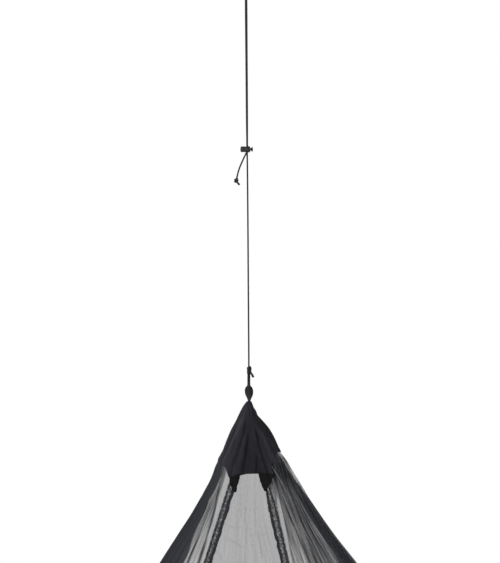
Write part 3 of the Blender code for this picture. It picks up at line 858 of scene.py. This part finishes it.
leftWing = {
    "pleats": (4, 0.0060, 0.10, (0, 1)),  # count, depth, start, flat ends
    "columns": 110,
    "cloth": (0.16, 0.30),  # width of the cloth at the cap and at the bottom
    "flatTo": 0.0262,
    "flatFrom": 0.100,
    "gather": (
        # drop, layers
        (0.10, 4.4), (0.16, 4.1), (0.20, 4.1), (0.23, 2.6), (0.27, 1.6), (0.31, 1.2), (1.50, 1.1),
    ),
    "across": ((0.0, 1.0), (1.0, 1.0)),
    "edgeLayers": ((0.10, 8.0), (0.32, 6.5), (0.50, 3.0), (1.50, 1.3)),
    "edgeFrom": (
        (0.14, 0.0400), (0.16, 0.0405), (0.18, 0.0420), (0.22, 0.0480), (0.24, 0.0500),
        (0.26, 0.0550), (0.28, 0.0506), (0.31, 0.0516), (1.50, 0.245),
    ),
    "edgeRamp": 0.0022,
    "seam": 0.0,
    "hem": (
        # from the edge, layers
        (0.0000, 26.0), (0.0056, 20.0), (0.0074, 3.0), (0.0116, 2.7), (0.0130, 12.0),
        (0.0147, 12.0), (0.0168, 1.0),
    ),
    "hemSize": ((0.10, 0.95), (0.18, 1.0), (1.5, 1.0)),
    "paintedShading": (0.0, 0.0, 0.0, 0.0),  # painted shade: how much below the cap till drop, beyond, and by the end, where below zero it is painted light
    "gleam": ((0.10, -1.0), (1.50, -1.0)),
    "clear": 0.0,
    "streak": 0.45,
    "lines": 24,
    "seed": 31,
    "folds": (
        # from the door edge at four drops, half width, layers above and below, relief
        (0.0380, 0.0400, 0.0474, 0.205, 0.0023, 3.0, 7.5, -0.0012),
        (0.0410, 0.0430, 0.0503, 0.225, 0.0014, 2.6, 3.0, 0.0012),
        (0.0345, 0.0320, 0.0380, 0.170, 0.0009, 2.6, 2.0, -0.0005),
        (0.0440, 0.0490, 0.0600, 0.240, 0.0018, 6.0, 6.0, -0.0010),
        (0.0345, 0.0278, 0.0258, 0.130, 0.0024, 9.0, 6.0, -0.0015),
    ),
}
rightWing = {
    "pleats": (9, 0.0060, 0.35, (1, 2)),
    "columns": 220,
    "cloth": (0.34, 0.80),
    "flatTo": 0.0245,
    "flatFrom": 0.170,
    "gather": (
        (0.10, 40.0), (0.14, 32.0), (0.155, 13.0), (0.17, 7.0), (0.20, 5.2), (0.25, 3.9),
        (0.31, 3.2), (0.45, 2.4), (0.80, 1.6), (1.50, 1.15),
    ),
    "across": ((0.0, 0.8), (0.30, 0.85), (0.45, 0.95), (0.65, 1.0), (0.85, 1.0), (1.0, 1.1)),
    "edgeLayers": ((0.10, 12.0), (0.16, 9.0), (0.22, 5.4), (0.29, 2.6), (0.50, 2.2), (1.50, 1.4)),
    "edgeFrom": ((0.10, 0.030), (0.16, 0.056), (0.31, 0.137), (1.5, 0.680)),
    "edgeRamp": 0.0060,
    "seam": 0.8,
    "hem": (
        (0.0000, 26.0), (0.0046, 20.0), (0.0064, 3.0), (0.0122, 2.7), (0.0138, 13.0),
        (0.0161, 13.0), (0.0180, 1.0),
    ),
    "hemSize": ((0.10, 0.60), (0.16, 0.64), (0.18, 0.74), (0.20, 0.90), (0.26, 1.0), (1.5, 1.0)),
    "paintedShading": (0.60, 0.145, 0.020, -0.3),
    "gleam": ((0.108, 0.0185), (0.1315, 0.0252), (0.1495, 0.0331), (0.18, 0.0426), (1.5, 0.21)),
    "clear": 0.05,
    "streak": 1.00,
    "lines": 38,
    "seed": 47,
    "folds": (
        (0.0208, 0.0164, 0.0150, 0.050, 0.0026, 4.6, 3.6, -0.0012),
        (0.0280, 0.0271, 0.0262, 0.070, 0.0013, 7.5, 3.6, -0.0015),
        (0.0305, 0.0308, 0.0315, 0.100, 0.0021, 5.0, 1.9, 0.0010),
        (0.0335, 0.0353, 0.0385, 0.130, 0.0025, 6.5, 4.4, -0.0010),
        (0.0360, 0.0394, 0.0452, 0.170, 0.0012, 7.0, 6.0, -0.0014),
        (0.0385, 0.0425, 0.0492, 0.200, 0.0014, 4.5, 2.2, 0.0014),
        (0.0415, 0.0475, 0.0572, 0.250, 0.0015, 6.5, 4.8, -0.0012),
        (0.0450, 0.0525, 0.0645, 0.290, 0.0016, 5.0, 2.3, 0.0014),
        (0.0500, 0.0580, 0.0710, 0.330, 0.0018, 7.0, 5.9, -0.0015),
        (0.0540, 0.0635, 0.0790, 0.370, 0.0015, 5.5, 3.8, 0.0010),
        (0.0585, 0.0694, 0.0870, 0.420, 0.0018, 8.5, 6.8, -0.0015),
        (0.0605, 0.0724, 0.0915, 0.445, 0.0010, 6.0, 4.1, 0.0010),
        (0.0650, 0.0830, 0.1110, 0.550, 0.0012, 7.0, 4.4, 0.0010),
        (0.0670, 0.0866, 0.1170, 0.585, 0.0015, 9.0, 6.8, -0.0012),
        (0.0590, 0.0846, 0.1228, 0.617, 0.0010, 8.0, 4.8, 0.0008),
        (0.0640, 0.0908, 0.1310, 0.655, 0.0008, 9.0, 6.0, 0.0006),
    ),
}


def wingCover(look, away, share, drop):
    flat = eased((away - look["flatTo"]) / wings["flatRamp"])
    flat = np.maximum(flat, fading((drop - look["flatFrom"]) / wings["flatFade"]))
    cover = between(wings["single"], follow(look["gather"], drop) * follow(look["across"], share), flat)
    edge = eased((away - follow(look["edgeFrom"], drop)) / look["edgeRamp"])
    cover = between(cover, follow(look["edgeLayers"], drop), edge)
    fine = downStreaks(look["seed"], share, drop, look["lines"], 12)
    thin = downStreaks(look["seed"] + 1, share, drop, 2 * look["lines"], 24)
    gaps = wings["gaps"] * np.maximum(thin, 0.0) ** 3
    cover, relief = layFolds(look["folds"], away, drop, cover)
    strength = flat * follow(wings["streakStrength"], drop)
    cover = cover * np.exp((look["streak"] * (thin + 0.6 * fine) - gaps) * strength)
    layers, size, till, fade = wings["gleam"]
    gleam = bell(away - follow(look["gleam"], drop), size) * fading((drop - till) / fade)
    return between(cover, layers, gleam), relief + wings["ripple"] * fine * flat, edge


def makeWing(name, node, look, doorColumn):
    sign = 1 if doorColumn == 2 else -1
    hemShare = np.linspace(0.0, 1.0, wings["hemColumns"])
    rest = np.linspace(0.0, 1.0, look["columns"] - wings["hemColumns"] + 1)[1:]
    beyond = np.concatenate([hemShare * 0.0, rest])[None, :]
    within = np.concatenate([hemShare, rest * 0.0 + 1.0])[None, :]

    def laid(drop):  # the door's edge, the wing's width, and how far each column is from the edge
        door = follow(hung["door"], drop, doorColumn)
        left, right, _, corner = reaches(drop)
        end = right * corner if sign > 0 else -left * corner
        width = np.abs(end - door)
        return door, width, wings["hemSpan"] * within + (width - wings["hemSpan"]) * beyond

    door, width, away = laid(np.array([[hung["hemDrop"]]]))
    top = capHem(frontShare(door + sign * away, hung["hemDrop"])) - hung["tuck"]
    drop = rowsDown(top, wings["rows"], wings["crowding"])
    door, width, away = laid(drop)
    fromDoor = away / width
    cover, relief, edge = wingCover(look, away, fromDoor, drop)
    cloth = away / follow(look["hemSize"], drop)
    hemEnd = look["hem"][-1][0] - wings["hemFade"] / 2
    inHem = fading((cloth - hemEnd) / wings["hemFade"])
    cover = between(cover, follow(look["hem"], cloth), inHem)
    inner = width - away  # from the corner seam
    if look["clear"] > 0.0:
        strip = fading((inner - follow(wings["strip"], drop)) / wings["stripFade"])
        cover = between(cover, look["clear"], strip)
    cover = bottomCover(cover + look["seam"] * bell(inner, wings["seamWidth"]), drop)
    # Painted shade under the cap on the right wing, and painted light by its end.
    depth, until, beyondHem, byEdge = look["paintedShading"]
    fadeDown, fadeAcross = wings["paintedShadingFades"]
    paintedShading = depth * fading((drop - until) / fadeDown) * eased((away - beyondHem) / fadeAcross)
    paintedShading = paintedShading + byEdge * edge
    place = frontShare(door + sign * away, drop)
    share = fromDoor if sign > 0 else 1.0 - fromDoor
    points = netPoints(look, 0, place, share, width, drop, relief)
    near = fading(away / wings["ruffleReach"])
    down = drop / net["streakSpan"]
    for count, size in wings["ruffles"]:
        points[..., 0] += size * near * streaks(count + doorColumn, down, 0.0, count, 1)
        points[..., 1] -= wings["ruffleDepth"] * size * near * streaks(count + 7, down, 0.0, count, 1)
    laidOut = points, netCut(look, share, drop), cover, inHem, paintedShading
    points, cut, cover, inHem, paintedShading = (values[:, ::sign] for values in laidOut)
    piece = makeGrid(name, points, cut, material=netMaterial)
    mark(piece, "speckle", inHem)
    mark(piece, "paintedShading", paintedShading)
    finishNet(piece, node, cover)


makeWing("netFrontLeft", "net_front_left", leftWing, 1)
makeWing("netFrontRight", "net_front_right", rightWing, 2)
print("wings hung")

# The other panels.
panels = {
    "netEndRight": {
        "node": "net_end_right",
        "side": 1,
        "pleats": (7, 0.0055, 0.20, (0, 0)),
        "columns": 130,
        "cloth": (0.40, 1.20),
        "gather": ((0.10, 3.6), (0.19, 3.4), (0.33, 2.4), (0.50, 2.0), (0.80, 1.6), (1.50, 1.15)),
        # clearer beside the front corner: layers, share from, over, drop from, over
        "thin": (0.26, 0.30, 0.35, 0.150, 0.05),
        "streak": 0.30,
        "seed": 61,
        "flat": (1.16, 1.60),
        "area": 1.20,
    },
    "netBack": {
        "node": "net_back",
        "side": 2,
        "pleats": (12, 0.0060, 0.60, (0, 0)),
        "columns": 240,
        "cloth": (0.60, 1.90),
        "gather": ((0.10, 1.0), (1.50, 1.0)),
        # more layers at the right and at the left: share, over, then drop and layers
        "rightSide": (0.06, 0.24),
        "rightLayers": ((0.10, 0.8), (0.16, 1.4), (0.25, 1.6), (0.33, 1.4), (0.80, 0.7), (1.50, 0.15)),
        "leftSide": (0.90, 0.08),
        "leftLayers": ((0.10, 4.0), (0.33, 3.0), (0.80, 1.0), (1.50, 0.2)),
        "streak": 0.10,
        "seed": 71,
        "flat": (1.85, 1.55),
        "area": 1.90,
    },
    "netEndLeft": {
        "node": "net_end_left",
        "side": 3,
        "pleats": (7, 0.0055, 0.75, (0, 3)),
        "columns": 130,
        "cloth": (0.40, 1.20),
        "gather": ((0.10, 14.0), (0.33, 12.0), (0.50, 5.0), (0.80, 2.4), (1.50, 1.25)),
        # drop, share where the net beside the front corner gets clearer
        "clearFrom": (
            (0.10, 1.00), (0.14, 0.92), (0.16, 0.80), (0.18, 0.76), (0.20, 0.62), (0.22, 0.64),
            (0.26, 0.76), (0.30, 0.97), (0.50, 0.97),
        ),
        "clear": (2.3, 0.45, 0.02, 0.08),  # layers, unevenness, from before that share, over
        "streak": 0.16,
        "seed": 83,
        "flat": (1.16, 1.55),
        "area": 1.15,
    },
}
panelRows = {"count": 170, "crowding": 1.4, "ripple": 0.0007, "seam": (0.16, 0.03, 0.0016)}


def panelCover(look, share, drop):
    cover = follow(look["gather"], drop)
    if "thin" in look:
        layers, shareFrom, shareOver, dropFrom, dropOver = look["thin"]
        thin = fading((share - shareFrom) / shareOver) * fading((drop - dropFrom) / dropOver)
        cover = between(cover, layers, thin)
    if "rightSide" in look:
        start, over = look["rightSide"]
        cover = cover + fading((share - start) / over) * follow(look["rightLayers"], drop)
        start, over = look["leftSide"]
        cover = cover + eased((share - start) / over) * follow(look["leftLayers"], drop)
    fine = downStreaks(look["seed"], share, drop, 3 * look["columns"] // 5, 14)
    fine = fine + 0.6 * downStreaks(look["seed"] + 1, share, drop, look["columns"], 28)
    cover = cover * (1.0 + look["streak"] * fine)
    if "clear" in look:
        layers, uneven, before, over = look["clear"]
        clear = eased((share - follow(look["clearFrom"], drop) + before) / over)
        cover = between(cover, layers * np.exp(uneven * fine), clear)
    return cover, fine


def makePanel(name, look):
    share = np.linspace(0.0, 1.0, look["columns"] + 1)[None, :]
    top = capHem(look["side"] + share) - hung["tuck"]
    drop = rowsDown(top, panelRows["count"], panelRows["crowding"])
    cover, fine = panelCover(look, share, drop)
    width = sideLength(look["side"], drop)
    start, over, seamWidth = panelRows["seam"]
    seam = eased((drop - start) / over) * bell(np.minimum(share, 1.0 - share) * width, seamWidth)
    points = netPoints(look, look["side"], share, share, width, drop, panelRows["ripple"] * fine)
    piece = makeGrid(name, points, netCut(look, share, drop), material=netMaterial)
    finishNet(piece, look["node"], bottomCover(cover + seam, drop))


for name, look in panels.items():
    makePanel(name, look)
print("ends and back hung")

doorPanel = {
    "pleats": (3, 0.0012, 0.30, (1, 1)),
    "columns": 110,
    "rows": 260,
    "crowding": 1.9,
    "cloth": (0.10, 0.90),
    "wrinkles": 0.045,
    "ripple": 0.0006,
    "edge": (0.8, 0.0014),  # layers, half width
    "calm": 0.9,
    "seed": 97,
    "creases": (
        # share and drop at the top, share and drop at the bottom, half width, layers more
        (0.46, 0.160, 0.44, 0.195, 0.0011, 0.22),
        (0.44, 0.205, 0.45, 0.236, 0.0010, 0.75),
        (0.48, 0.236, 0.49, 0.330, 0.0011, 0.42),
        (0.36, 0.175, 0.37, 0.225, 0.0016, 0.18),
        (0.66, 0.255, 0.70, 0.300, 0.0012, 0.35),
        (0.60, 0.190, 0.63, 0.240, 0.0020, 0.15),
        (0.78, 0.240, 0.84, 0.320, 0.0013, 0.20),
        (0.16, 0.262, 0.46, 0.283, 0.0013, 0.32),
        (0.12, 0.290, 0.30, 0.320, 0.0014, 0.35),
        (0.22, 0.243, 0.55, 0.250, 0.0012, 0.22),
        (0.55, 0.262, 0.80, 0.256, 0.0012, 0.20),
        (0.10, 0.236, 0.26, 0.246, 0.0010, 0.22),
        (0.30, 0.310, 0.60, 0.318, 0.0014, 0.18),
        (0.30, 0.214, 0.70, 0.209, 0.0012, 0.14),
        (0.34, 0.168, 0.66, 0.163, 0.0010, 0.16),
    ),
    "creaseSpan": 0.12,  # metres across the panel where they lie
}


def makeDoor():
    look = doorPanel
    share = np.linspace(0.0, 1.0, look["columns"] + 1)[None, :]
    top = capHem(frontShare(0.0, hung["hemDrop"]) + 0.0 * share) - hung["tuck"]
    drop = rowsDown(top, look["rows"], look["crowding"])
    left = follow(hung["door"], drop, 1) - hung["lap"]
    right = follow(hung["door"], drop, 2) + hung["lap"]
    width = right - left
    fine = downStreaks(look["seed"], share, drop, 26, 12)
    fine = fine + 0.5 * downStreaks(look["seed"] + 1, share, drop, 60, 30)
    layers, size = look["edge"]
    cover = 1.0 + look["wrinkles"] * fine + layers * bell(np.minimum(share, 1.0 - share) * width, size)
    for first, high, last, low, size, more in look["creases"]:  # in the plane of complex numbers
        span = (last - first) * look["creaseSpan"] + 1j * (low - high)
        reach = (share - first) * look["creaseSpan"] + 1j * (drop - high)
        off = np.abs(reach - np.clip((reach / span).real, 0.0, 1.0) * span)
        cover = cover + more * bell(off, size) * (0.6 + 0.8 * np.abs(fine))
    place = frontShare(left + width * share, drop)
    points = netPoints(look, 0, place, share, width, drop, look["ripple"] * fine, hung["doorStandoff"])
    piece = makeGrid("netDoor", points, netCut(look, share, drop), material=netMaterial)
    mark(piece, "calm", look["calm"] + 0.0 * cover)
    finishNet(piece, "net_door", bottomCover(cover, drop))


makeDoor()
print("door panel hung")

# Two patches at the tops of the door's edges, their colours painted darker than the cap's cloth: painted
# shade under the cap's hem.
patches = {
    "patchLeft": {
        "node": "patch_left",
        "rows": (
            # below the hem, left, right
            (0.0008, -0.0492, -0.0276),
            (0.0110, -0.0474, -0.0298),
            (0.0210, -0.0436, -0.0340),
            (0.0288, -0.0394, -0.0352),
        ),
    },
    "patchRight": {
        "node": "patch_right",
        "rows": (
            (0.0008, 0.0100, 0.0388),
            (0.0120, 0.0113, 0.0340),
            (0.0220, 0.0146, 0.0268),
            (0.0315, 0.0186, 0.0238),
        ),
    },
}
patchLook = {
    "columns": 24,
    "rows": 36,
    "standoff": 0.0021,
    "thickness": 0.0010,
    "fraying": {"size": 0.0004, "seed": 11, "cells": 12, "span": 0.034},
    "tucked": (0.004, 0.006),  # its top edge goes up under the cap: how far, over
    # Painted shade: these colours are darker than the cap's cloth.
    "colour": (0.0034, 0.0035, 0.0038),
    "wornAndLit": (0.0072, 0.0073, 0.0078),
}


def makePatch(name, look, material):
    below = np.linspace(look["rows"][0][0], look["rows"][-1][0], patchLook["rows"])[:, None]
    share = np.linspace(0.0, 1.0, patchLook["columns"] + 1)[None, :]
    left = follow(look["rows"], below, 1)
    right = follow(look["rows"], below, 2)
    fray = patchLook["fraying"]
    frayed = fray["size"] * streaks(fray["seed"], below / fray["span"], 0.0, fray["cells"], 1)
    x = between(left, right, share) + frayed * (2 * share - 1)
    reach, over = patchLook["tucked"]
    drop = capHem(frontShare(x, hung["hemDrop"])) + below - reach * fading(below / over)
    none = 0.0 * x
    place = frontShare(x, drop)
    points = netPoints(doorPanel, 0, place, none, 1.0 + none, drop, none, -patchLook["standoff"])
    piece = makeGrid(name, points, np.stack([x, drop], axis=-1), material=material)
    thicken(piece, patchLook["thickness"])
    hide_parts(look["node"])
    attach(piece, "canopy")


shadedPatchMaterial = clothFinish("shadedPatchCloth", patchLook["colour"], patchLook["wornAndLit"], 0.92)
for name, look in patches.items():
    makePatch(name, look, shadedPatchMaterial)
print("patches sewn")

# The tape that hangs in the cord's eye and holds the cap's tip, twisted below its widest point.
tape = {
    "leg": (
        # below the eye, half width, half spread, twist
        (0.0000, 0.0052, 0.00275, 0),
        (0.0025, 0.0066, 0.00262, 0),
        (0.0060, 0.0077, 0.00245, 2),
        (0.0100, 0.0079, 0.00215, 6),
        (0.0145, 0.0074, 0.00175, 12),
        (0.0190, 0.0058, 0.00135, 20),
        (0.0240, 0.0036, 0.00105, 30),
        (0.0280, 0.0025, 0.00085, 40),
        (0.0320, 0.0023, 0.00080, 50),
    ),
    "fold": 0.00275,
    "neck": 0.0010,  # half width where it goes through the eye
    "legRows": 40,
    "foldRows": 12,
    "columns": 14,
    "thickness": 0.0011,
    "swing": 0.02,  # over which it passes from the cord's axis to the cap's
    "half": 0.008,  # half its width in the weave
    "cup": (0.0005, 0.0015, 0.004),  # depth, from half width, over
    "dark": (0.0040, 0.0040, 0.0041),
    "pale": (0.0205, 0.0205, 0.0210),
    "toneAndPaintedLight": 0.66,
    "shaded": (0.62, 0.25, 0.6, 0.35),  # one half lies in shade: less, from, turning down it, over
}


def tapeFinish():
    material, shader, start = newFinish("tapeWeave", 0.8, 0.2)
    _, across, along = cutPlace(start)
    ribs = (across * 0.5 + along).wave(0.0011) * 0.5 + 0.5
    selvedge = across.wave(0.0014) * 0.5 + 0.5
    # The weave's ribs and stripes, plus the painted shade marked on the mesh.
    weave = ribs * 0.35 + selvedge * 0.15 + start.attribute("toneAndPaintedLight")
    plug(shader, "Base Color", weave.blend(tape["dark"], tape["pale"]))
    plug(shader, "Normal", bump(ribs, 0.5, 0.0002))
    return material


def makeTape():
    below = np.linspace(0.0, tape["leg"][-1][0], tape["legRows"])
    turn = np.linspace(0.0, math.pi, tape["foldRows"])[1:-1]
    legWidth, legSpread, legTwist = (follow(tape["leg"], below, column) for column in (1, 2, 3))
    neck = between(tape["leg"][0][1], tape["neck"], np.sin(turn) ** 0.8)
    parts = (
        (legWidth[::-1], neck, legWidth),
        (legSpread[::-1], tape["fold"] * np.cos(turn), -legSpread),
        (legTwist[::-1], 0.0 * turn, legTwist),
        (-below[::-1], tape["fold"] * np.sin(turn), -below),
    )
    width, spread, twist, height = (np.concatenate(part)[:, None] for part in parts)
    twist = np.radians(twist)[..., None]
    sideways = np.linspace(-1.0, 1.0, tape["columns"] + 1)[None, :]
    along = np.array([math.cos(eye["turn"]), math.sin(eye["turn"]), 0.0])
    across = np.array([math.sin(eye["turn"]), -math.cos(eye["turn"]), 0.0])
    wide = along * np.cos(twist) + across * np.sin(twist)
    deep = across * np.cos(twist) - along * np.sin(twist)
    share = eased(-height / tape["swing"])
    x = between(axisX(eye["bottom"]), hung["apex"][0], share)
    centre = np.stack([x, 0.0 * share, height + eye["bar"]], axis=-1)
    depth, start, over = tape["cup"]
    cup = depth * (1 - sideways**2) * np.sign(spread) * eased((width - start) / over)
    points = centre + wide * (width * sideways)[..., None] + deep * (spread + cup)[..., None]
    steps = np.linalg.norm(np.diff(points[:, tape["columns"] // 2], axis=0), axis=1)
    length = np.concatenate([[0.0], np.cumsum(steps)])
    cut = np.stack(np.broadcast_arrays(sideways * tape["half"], length[:, None]), axis=-1)
    piece = makeGrid("tapeLoop", points, cut, material=tapeFinish())
    # Painted shade: one half of the tape is painted darker.
    less, start, turning, over = tape["shaded"]
    down = np.abs(height) / tape["leg"][-1][0]
    shaded = eased((sideways * np.sign(spread) + start - turning * down) / over)
    mark(piece, "toneAndPaintedLight", tape["toneAndPaintedLight"] - less * shaded)
    thicken(piece, tape["thickness"])
    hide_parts("tape_loop")
    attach(piece, "canopy")
    return piece


tapeLoop = makeTape()
print("tape threaded")

# The cord lock: a turned barrel on the two strands and the spring-loaded button that grips them.
lock = {
    "height": -0.3486,
    "flattening": 1.15,  # its section is wider in depth than it is high
    "sides": 48,
    "barrel": (
        # along, radius
        (-0.0130, 0.0049), (-0.0127, 0.0054), (-0.0120, 0.0058), (-0.0022, 0.0058),
        (-0.0018, 0.0060), (-0.0013, 0.0063), (0.0038, 0.0063), (0.0049, 0.0059), (0.0056, 0.0052),
        (0.0059, 0.0043), (0.0059, 0.0031), (0.0050, 0.0029), (0.0050, 0.0047), (-0.0086, 0.0047),
        (-0.0092, 0.0040),
    ),
    "plunger": (
        (-0.0044, 0.0038), (-0.0040, 0.0043), (0.0041, 0.0043), (0.0046, 0.0039), (0.0046, 0.0022),
        (0.0074, 0.0022), (0.0080, 0.0026), (0.0087, 0.0039), (0.0093, 0.0046), (0.0101, 0.0049),
        (0.0107, 0.0046), (0.0110, 0.0038),
    ),
    "slotHalfWidth": 0.0034,
    "slotHeight": 0.016,
    "barrelSlot": (-0.0030, 0.0019),
    "plungerSlot": (-0.0017, 0.0037),
    "rounding": 0.0002,
    "colour": (0.010, 0.010, 0.010),
    "rubbed": (0.016, 0.016, 0.016),
}


def carve(piece, slot):  # cuts the slot through, from top to bottom
    deselect()
    bpy.ops.mesh.primitive_cube_add(size=1.0, location=((slot[0] + slot[1]) / 2, 0.0, 0.0))
    cutter = bpy.context.active_object
    cutter.scale = (slot[1] - slot[0], 2 * lock["slotHalfWidth"], lock["slotHeight"])
    settle()
    hole = piece.modifiers.new("slot", "BOOLEAN")
    hole.operation = "DIFFERENCE"
    hole.object = cutter
    applyAll(piece)
    deselect()
    cutter.select_set(True)
    bpy.ops.object.delete()


def makeTurned(name, rows, slot, material):
    deselect()
    bpy.ops.mesh.primitive_circle_add(vertices=lock["sides"], radius=rows[0][1], fill_type="NGON")
    piece = bpy.context.active_object
    piece.name = name
    piece.rotation_euler = (0.0, math.pi / 2, 0.0)
    piece.location = (rows[0][0], 0.0, 0.0)
    settle()
    bpy.ops.object.mode_set(mode="EDIT")
    bpy.ops.mesh.select_all(action="SELECT")
    for (x, radius), (nextX, nextRadius) in zip(rows, rows[1:]):
        bpy.ops.mesh.extrude_region_move(TRANSFORM_OT_translate={"value": (nextX - x, 0.0, 0.0)})
        size = nextRadius / radius
        bpy.ops.transform.resize(value=(1.0, size, size), center_override=(nextX, 0.0, 0.0))
    bpy.ops.mesh.select_all(action="SELECT")
    bpy.ops.transform.resize(value=(1.0, lock["flattening"], 1.0), center_override=(0.0, 0.0, 0.0))
    bpy.ops.mesh.normals_make_consistent(inside=False)
    bpy.ops.object.mode_set(mode="OBJECT")
    carve(piece, slot)
    edges = piece.modifiers.new("rounding", "BEVEL")
    edges.width = lock["rounding"]
    edges.segments = 2
    edges.limit_method = "ANGLE"
    edges.angle_limit = math.radians(50)
    applyAll(piece)
    piece.select_set(True)
    bpy.ops.object.shade_smooth_by_angle(angle=math.radians(38))
    piece.location = (axisX(lock["height"]), 0.0, lock["height"])
    settle()
    piece.select_set(False)
    piece.data.materials.append(material)
    return piece


def lockFinish():
    material, shader, start = newFinish("blackPlastic", 0.45, 0.35)
    grain = start.noise(start.node("TexCoord", output=3), 2500.0, 3.0)
    plug(shader, "Base Color", grain.blend(lock["colour"], lock["rubbed"]))
    plug(shader, "Normal", bump(grain, 0.12, 0.0001))
    return material


lockMaterial = lockFinish()
lockBarrel = makeTurned("lockBarrel", lock["barrel"], lock["barrelSlot"], lockMaterial)
lockPlunger = makeTurned("lockPlunger", lock["plunger"], lock["plungerSlot"], lockMaterial)
for piece, node, body in ((lockBarrel, "lock_barrel", "canopy"), (lockPlunger, "lock_plunger", "plunger")):
    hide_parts(node)
    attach(piece, body)
print("lock turned")

# Floor and light.
studio = {
    "floor": -2.353,
    "floorRadius": 9.0,
    "floorColours": ((0.76, 0.755, 0.745), (0.80, 0.795, 0.785)),
    "around": 0.28,
    "aim": (0.0, 0.0, -1.0),
    "lights": (
        # name, place, size, power
        ("key", (-9.84, -5.04, 2.84), 4.8, 1640.0),
        ("fill", (7.68, -7.68, 0.44), 7.2, 620.0),
        ("back", (1.20, 9.12, 3.80), 7.2, 345.0),
    ),
}


def makeStudio():
    deselect()
    bpy.ops.mesh.primitive_circle_add(
        vertices=128, radius=studio["floorRadius"], fill_type="NGON", location=(0.0, 0.0, studio["floor"])
    )
    floor = bpy.context.active_object
    floor.name = "floor"
    material, shader, start = newFinish("paleFloor", 0.85, 0.2)
    cloud = start.noise(start.node("TexCoord", output=3), 1.2, 3.0)
    plug(shader, "Base Color", cloud.blend(*studio["floorColours"]))
    floor.data.materials.append(material)
    world = bpy.data.worlds.new("studio")
    bpy.context.scene.world = world
    world.use_nodes = True
    tree = world.node_tree
    tree.nodes.clear()
    start = Wire(tree)
    white = (1.0, 1.0, 1.0, 1.0)
    seen = start.node("Background", None, {"Color": white, "Strength": 1.0})
    around = start.node("Background", None, {"Color": white, "Strength": studio["around"]})
    isCamera = start.node("LightPath", output=0)
    mixed = start.node("MixShader", None, {0: isCamera, 1: around, 2: seen})
    out = tree.nodes.new("ShaderNodeOutputWorld")
    tree.links.new(mixed.socket, out.inputs["Surface"])
    for name, place, size, power in studio["lights"]:
        data = bpy.data.lights.new(name, "AREA")
        data.size = size
        data.energy = power
        light = bpy.data.objects.new(name, data)
        light.location = place
        aim = Vector(studio["aim"]) - Vector(place)
        light.rotation_euler = aim.to_track_quat("-Z", "Y").to_euler()
        bpy.context.scene.collection.objects.link(light)


makeStudio()
bpy.context.scene.view_settings.view_transform = "Standard"
bpy.context.scene.cycles.transparent_max_bounces = 32
print("studio lit")
